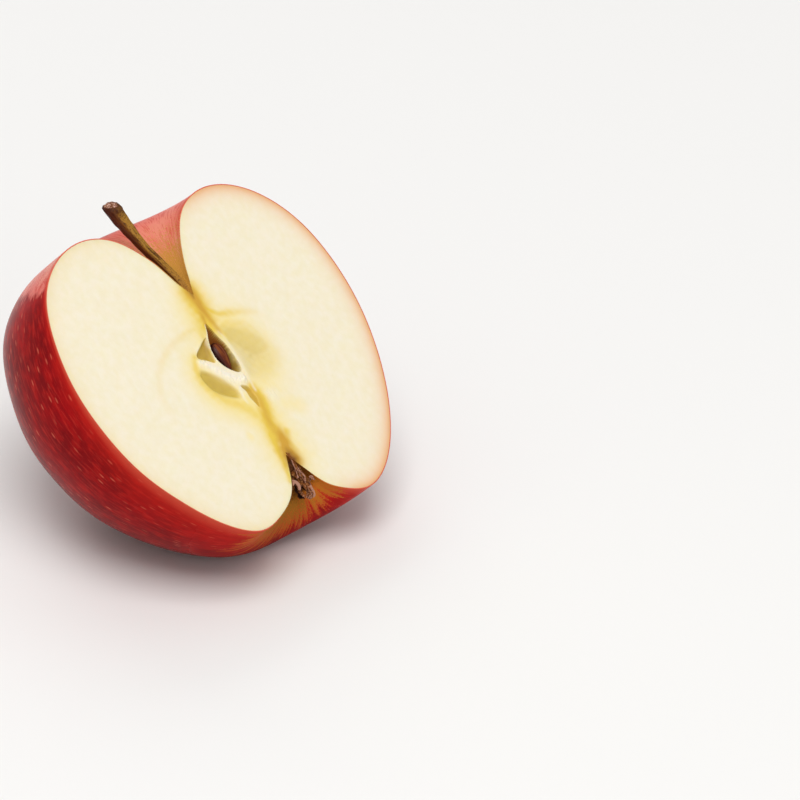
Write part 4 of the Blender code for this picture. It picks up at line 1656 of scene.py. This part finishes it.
    def thread(self, number: int, shares: Array) -> Patch:
        """A thread of the core: a thin flattened tube, fanned out between the first and the last of them.

        Args:
            number: Its number, which says where in the fan it is.
            shares: How far along it each ring is.

        Returns:
            Its surface.
        """
        share = number / (self.threads - 1)
        first, last = np.array(self.first_thread), np.array(self.last_thread)
        knots = first + (last - first) * share
        knots[-1, 1:] += [float(wave.at(share, 0.0)) for wave in self.thread_stagger]
        line = curve_at(knots, shares)
        waver = [replace(ripple, seed=ripple.seed + number).at(line) for ripple in self.thread_waver]
        line = line + np.stack(waver, axis=-1) * shares[:, None]
        radius = self.thread_radius * (1.0 + self.thread_beads.at(shares, number))
        bleached = self.thread_bleached[number % self.thread_pale_every == 0]
        pale = bleached * smooth(0.0, self.thread_pale_from, shares)
        flat = np.zeros_like(shares)
        return self.tube(line, self.thread_flatness * radius, radius, flat, pale, 0.0, self.thread_sides)

    def piece(self) -> Piece:
        """The heart, the sepals, the stamens and the threads, each a closed surface.

        Returns:
            The piece, ready to build.
        """
        shares = np.linspace(0.0, 1.0, self.steps + 1)
        draw = np.random.default_rng(self.seed)
        patches = [self.lump()]
        patches += [self.sepal(sepal, number, shares) for number, sepal in enumerate(self.sepals)]
        patches += [self.stamen(draw, shares) for _ in range(self.stamens)]
        patches += [self.thread(number, shares) for number in range(self.threads)]
        return Piece("dried_calyx", "calyx", "calyx", patches, DriedSepal().material())


@dataclass(frozen=True)
class Softbox:
    """A square soft light that faces the fruit. Its place and side are in metres, and its power in watts."""

    name: str
    place: Place
    side: float
    power: float

    def hang(self) -> None:
        """Hangs the light."""
        data = bpy.data.lights.new(self.name, "AREA")
        data.size = self.side
        data.energy = self.power
        light = bpy.data.objects.new(self.name, data)
        light.location = self.place
        light.rotation_mode = "QUATERNION"
        light.rotation_quaternion = Vector(self.place).to_track_quat("Z", "Y")
        bpy.context.scene.collection.objects.link(light)


@dataclass(frozen=True)
class Studio:
    """A plain pale floor, a wide soft light above it, and the camera at the photograph's viewing angle."""

    # Angles are in degrees and lengths in millimetres. The camera is aimed this far beside and above the core
    elevation: float = 30.0
    tilt: float = 4.0
    distance: float = 1112.0
    aim: Point = (31.6, -8.02)
    lens: float = 270.2
    sensor: float = 36.0
    # The camera sees what lies between these distances, in metres
    near: float = 0.05
    far: float = 20.0
    # The floor's side, in metres
    floor_size: float = 6.0
    floor_colour: str = "eeedeb"
    floor_roughness: float = 0.9
    softboxes: tuple[Softbox, ...] = (
        Softbox("softbox above", (0.0, -1.1, 2.3), 1.5, 42.0),
        Softbox("softbox at the right", (1.9, -1.7, 0.9), 1.4, 6.0),
        Softbox("softbox behind", (-0.9, 1.8, 1.6), 1.4, 9.0),
    )
    sky_colour: str = "ffffff"
    sky_strength: float = 0.48

    def camera(self, core: Array) -> None:
        """Stands the camera at its elevation, tilted about its own line of sight, aimed beside the core.

        Args:
            core: The middle of the core, in metres.
        """
        elevation = math.radians(self.elevation)
        back = Vector((0.0, -math.cos(elevation), math.sin(elevation)))
        level = back.to_track_quat("Z", "Y").to_matrix()
        turned = level @ Matrix.Rotation(math.radians(self.tilt), 3, "Z")
        aim = Vector(core) + (turned.col[0] * self.aim[0] + turned.col[1] * self.aim[1]) * MM
        data = bpy.data.cameras.new("camera")
        data.lens = self.lens
        data.sensor_width = self.sensor
        data.clip_start = self.near
        data.clip_end = self.far
        camera = bpy.data.objects.new("camera", data)
        camera.matrix_world = Matrix.Translation(aim + turned.col[2] * self.distance * MM) @ turned.to_4x4()
        bpy.context.scene.collection.objects.link(camera)
        bpy.context.scene.camera = camera

    def floor(self) -> None:
        """Lays the floor: one square of smooth matt paper."""
        corners = np.array([(-1.0, -1.0, 0.0), (1.0, -1.0, 0.0), (1.0, 1.0, 0.0), (-1.0, 1.0, 0.0)])
        mesh = bpy.data.meshes.new("floor")
        mesh.from_pydata((corners * self.floor_size / 2.0).tolist(), [], [(0, 1, 2, 3)])
        material = bpy.data.materials.new("pale studio floor")
        material.use_nodes = True
        shader = material.node_tree.nodes["Principled BSDF"]
        shader.inputs["Base Color"].default_value = linear(self.floor_colour)
        shader.inputs["Roughness"].default_value = self.floor_roughness
        mesh.materials.append(material)
        floor = bpy.data.objects.new("floor", mesh)
        bpy.context.scene.collection.objects.link(floor)

    def build(self, core: Array) -> None:
        """Sets up the floor, the camera, the lights and the sky.

        Args:
            core: The middle of the core, in metres.
        """
        self.floor()
        self.camera(core)
        for softbox in self.softboxes:
            softbox.hang()
        world = bpy.data.worlds.new("studio")
        world.use_nodes = True
        sky = world.node_tree.nodes["Background"]
        sky.inputs["Color"].default_value = linear(self.sky_colour)
        sky.inputs["Strength"].default_value = self.sky_strength
        bpy.context.scene.world = world
        bpy.context.scene.view_settings.view_transform = "Standard"


def main() -> None:
    """Builds the fruit's pieces in order, then the studio."""
    logging.basicConfig(level=logging.INFO, format="%(name)s: %(message)s")
    log.info("CAD nodes: %s", ", ".join(sorted(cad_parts)))
    fruit = Fruit()
    for part in (Skin(fruit), Flesh(fruit), Stem(), Seed(), Calyx()):
        part.piece().build(fruit)
    Studio().build(fruit.core())


if __name__ == "__main__":
    main()
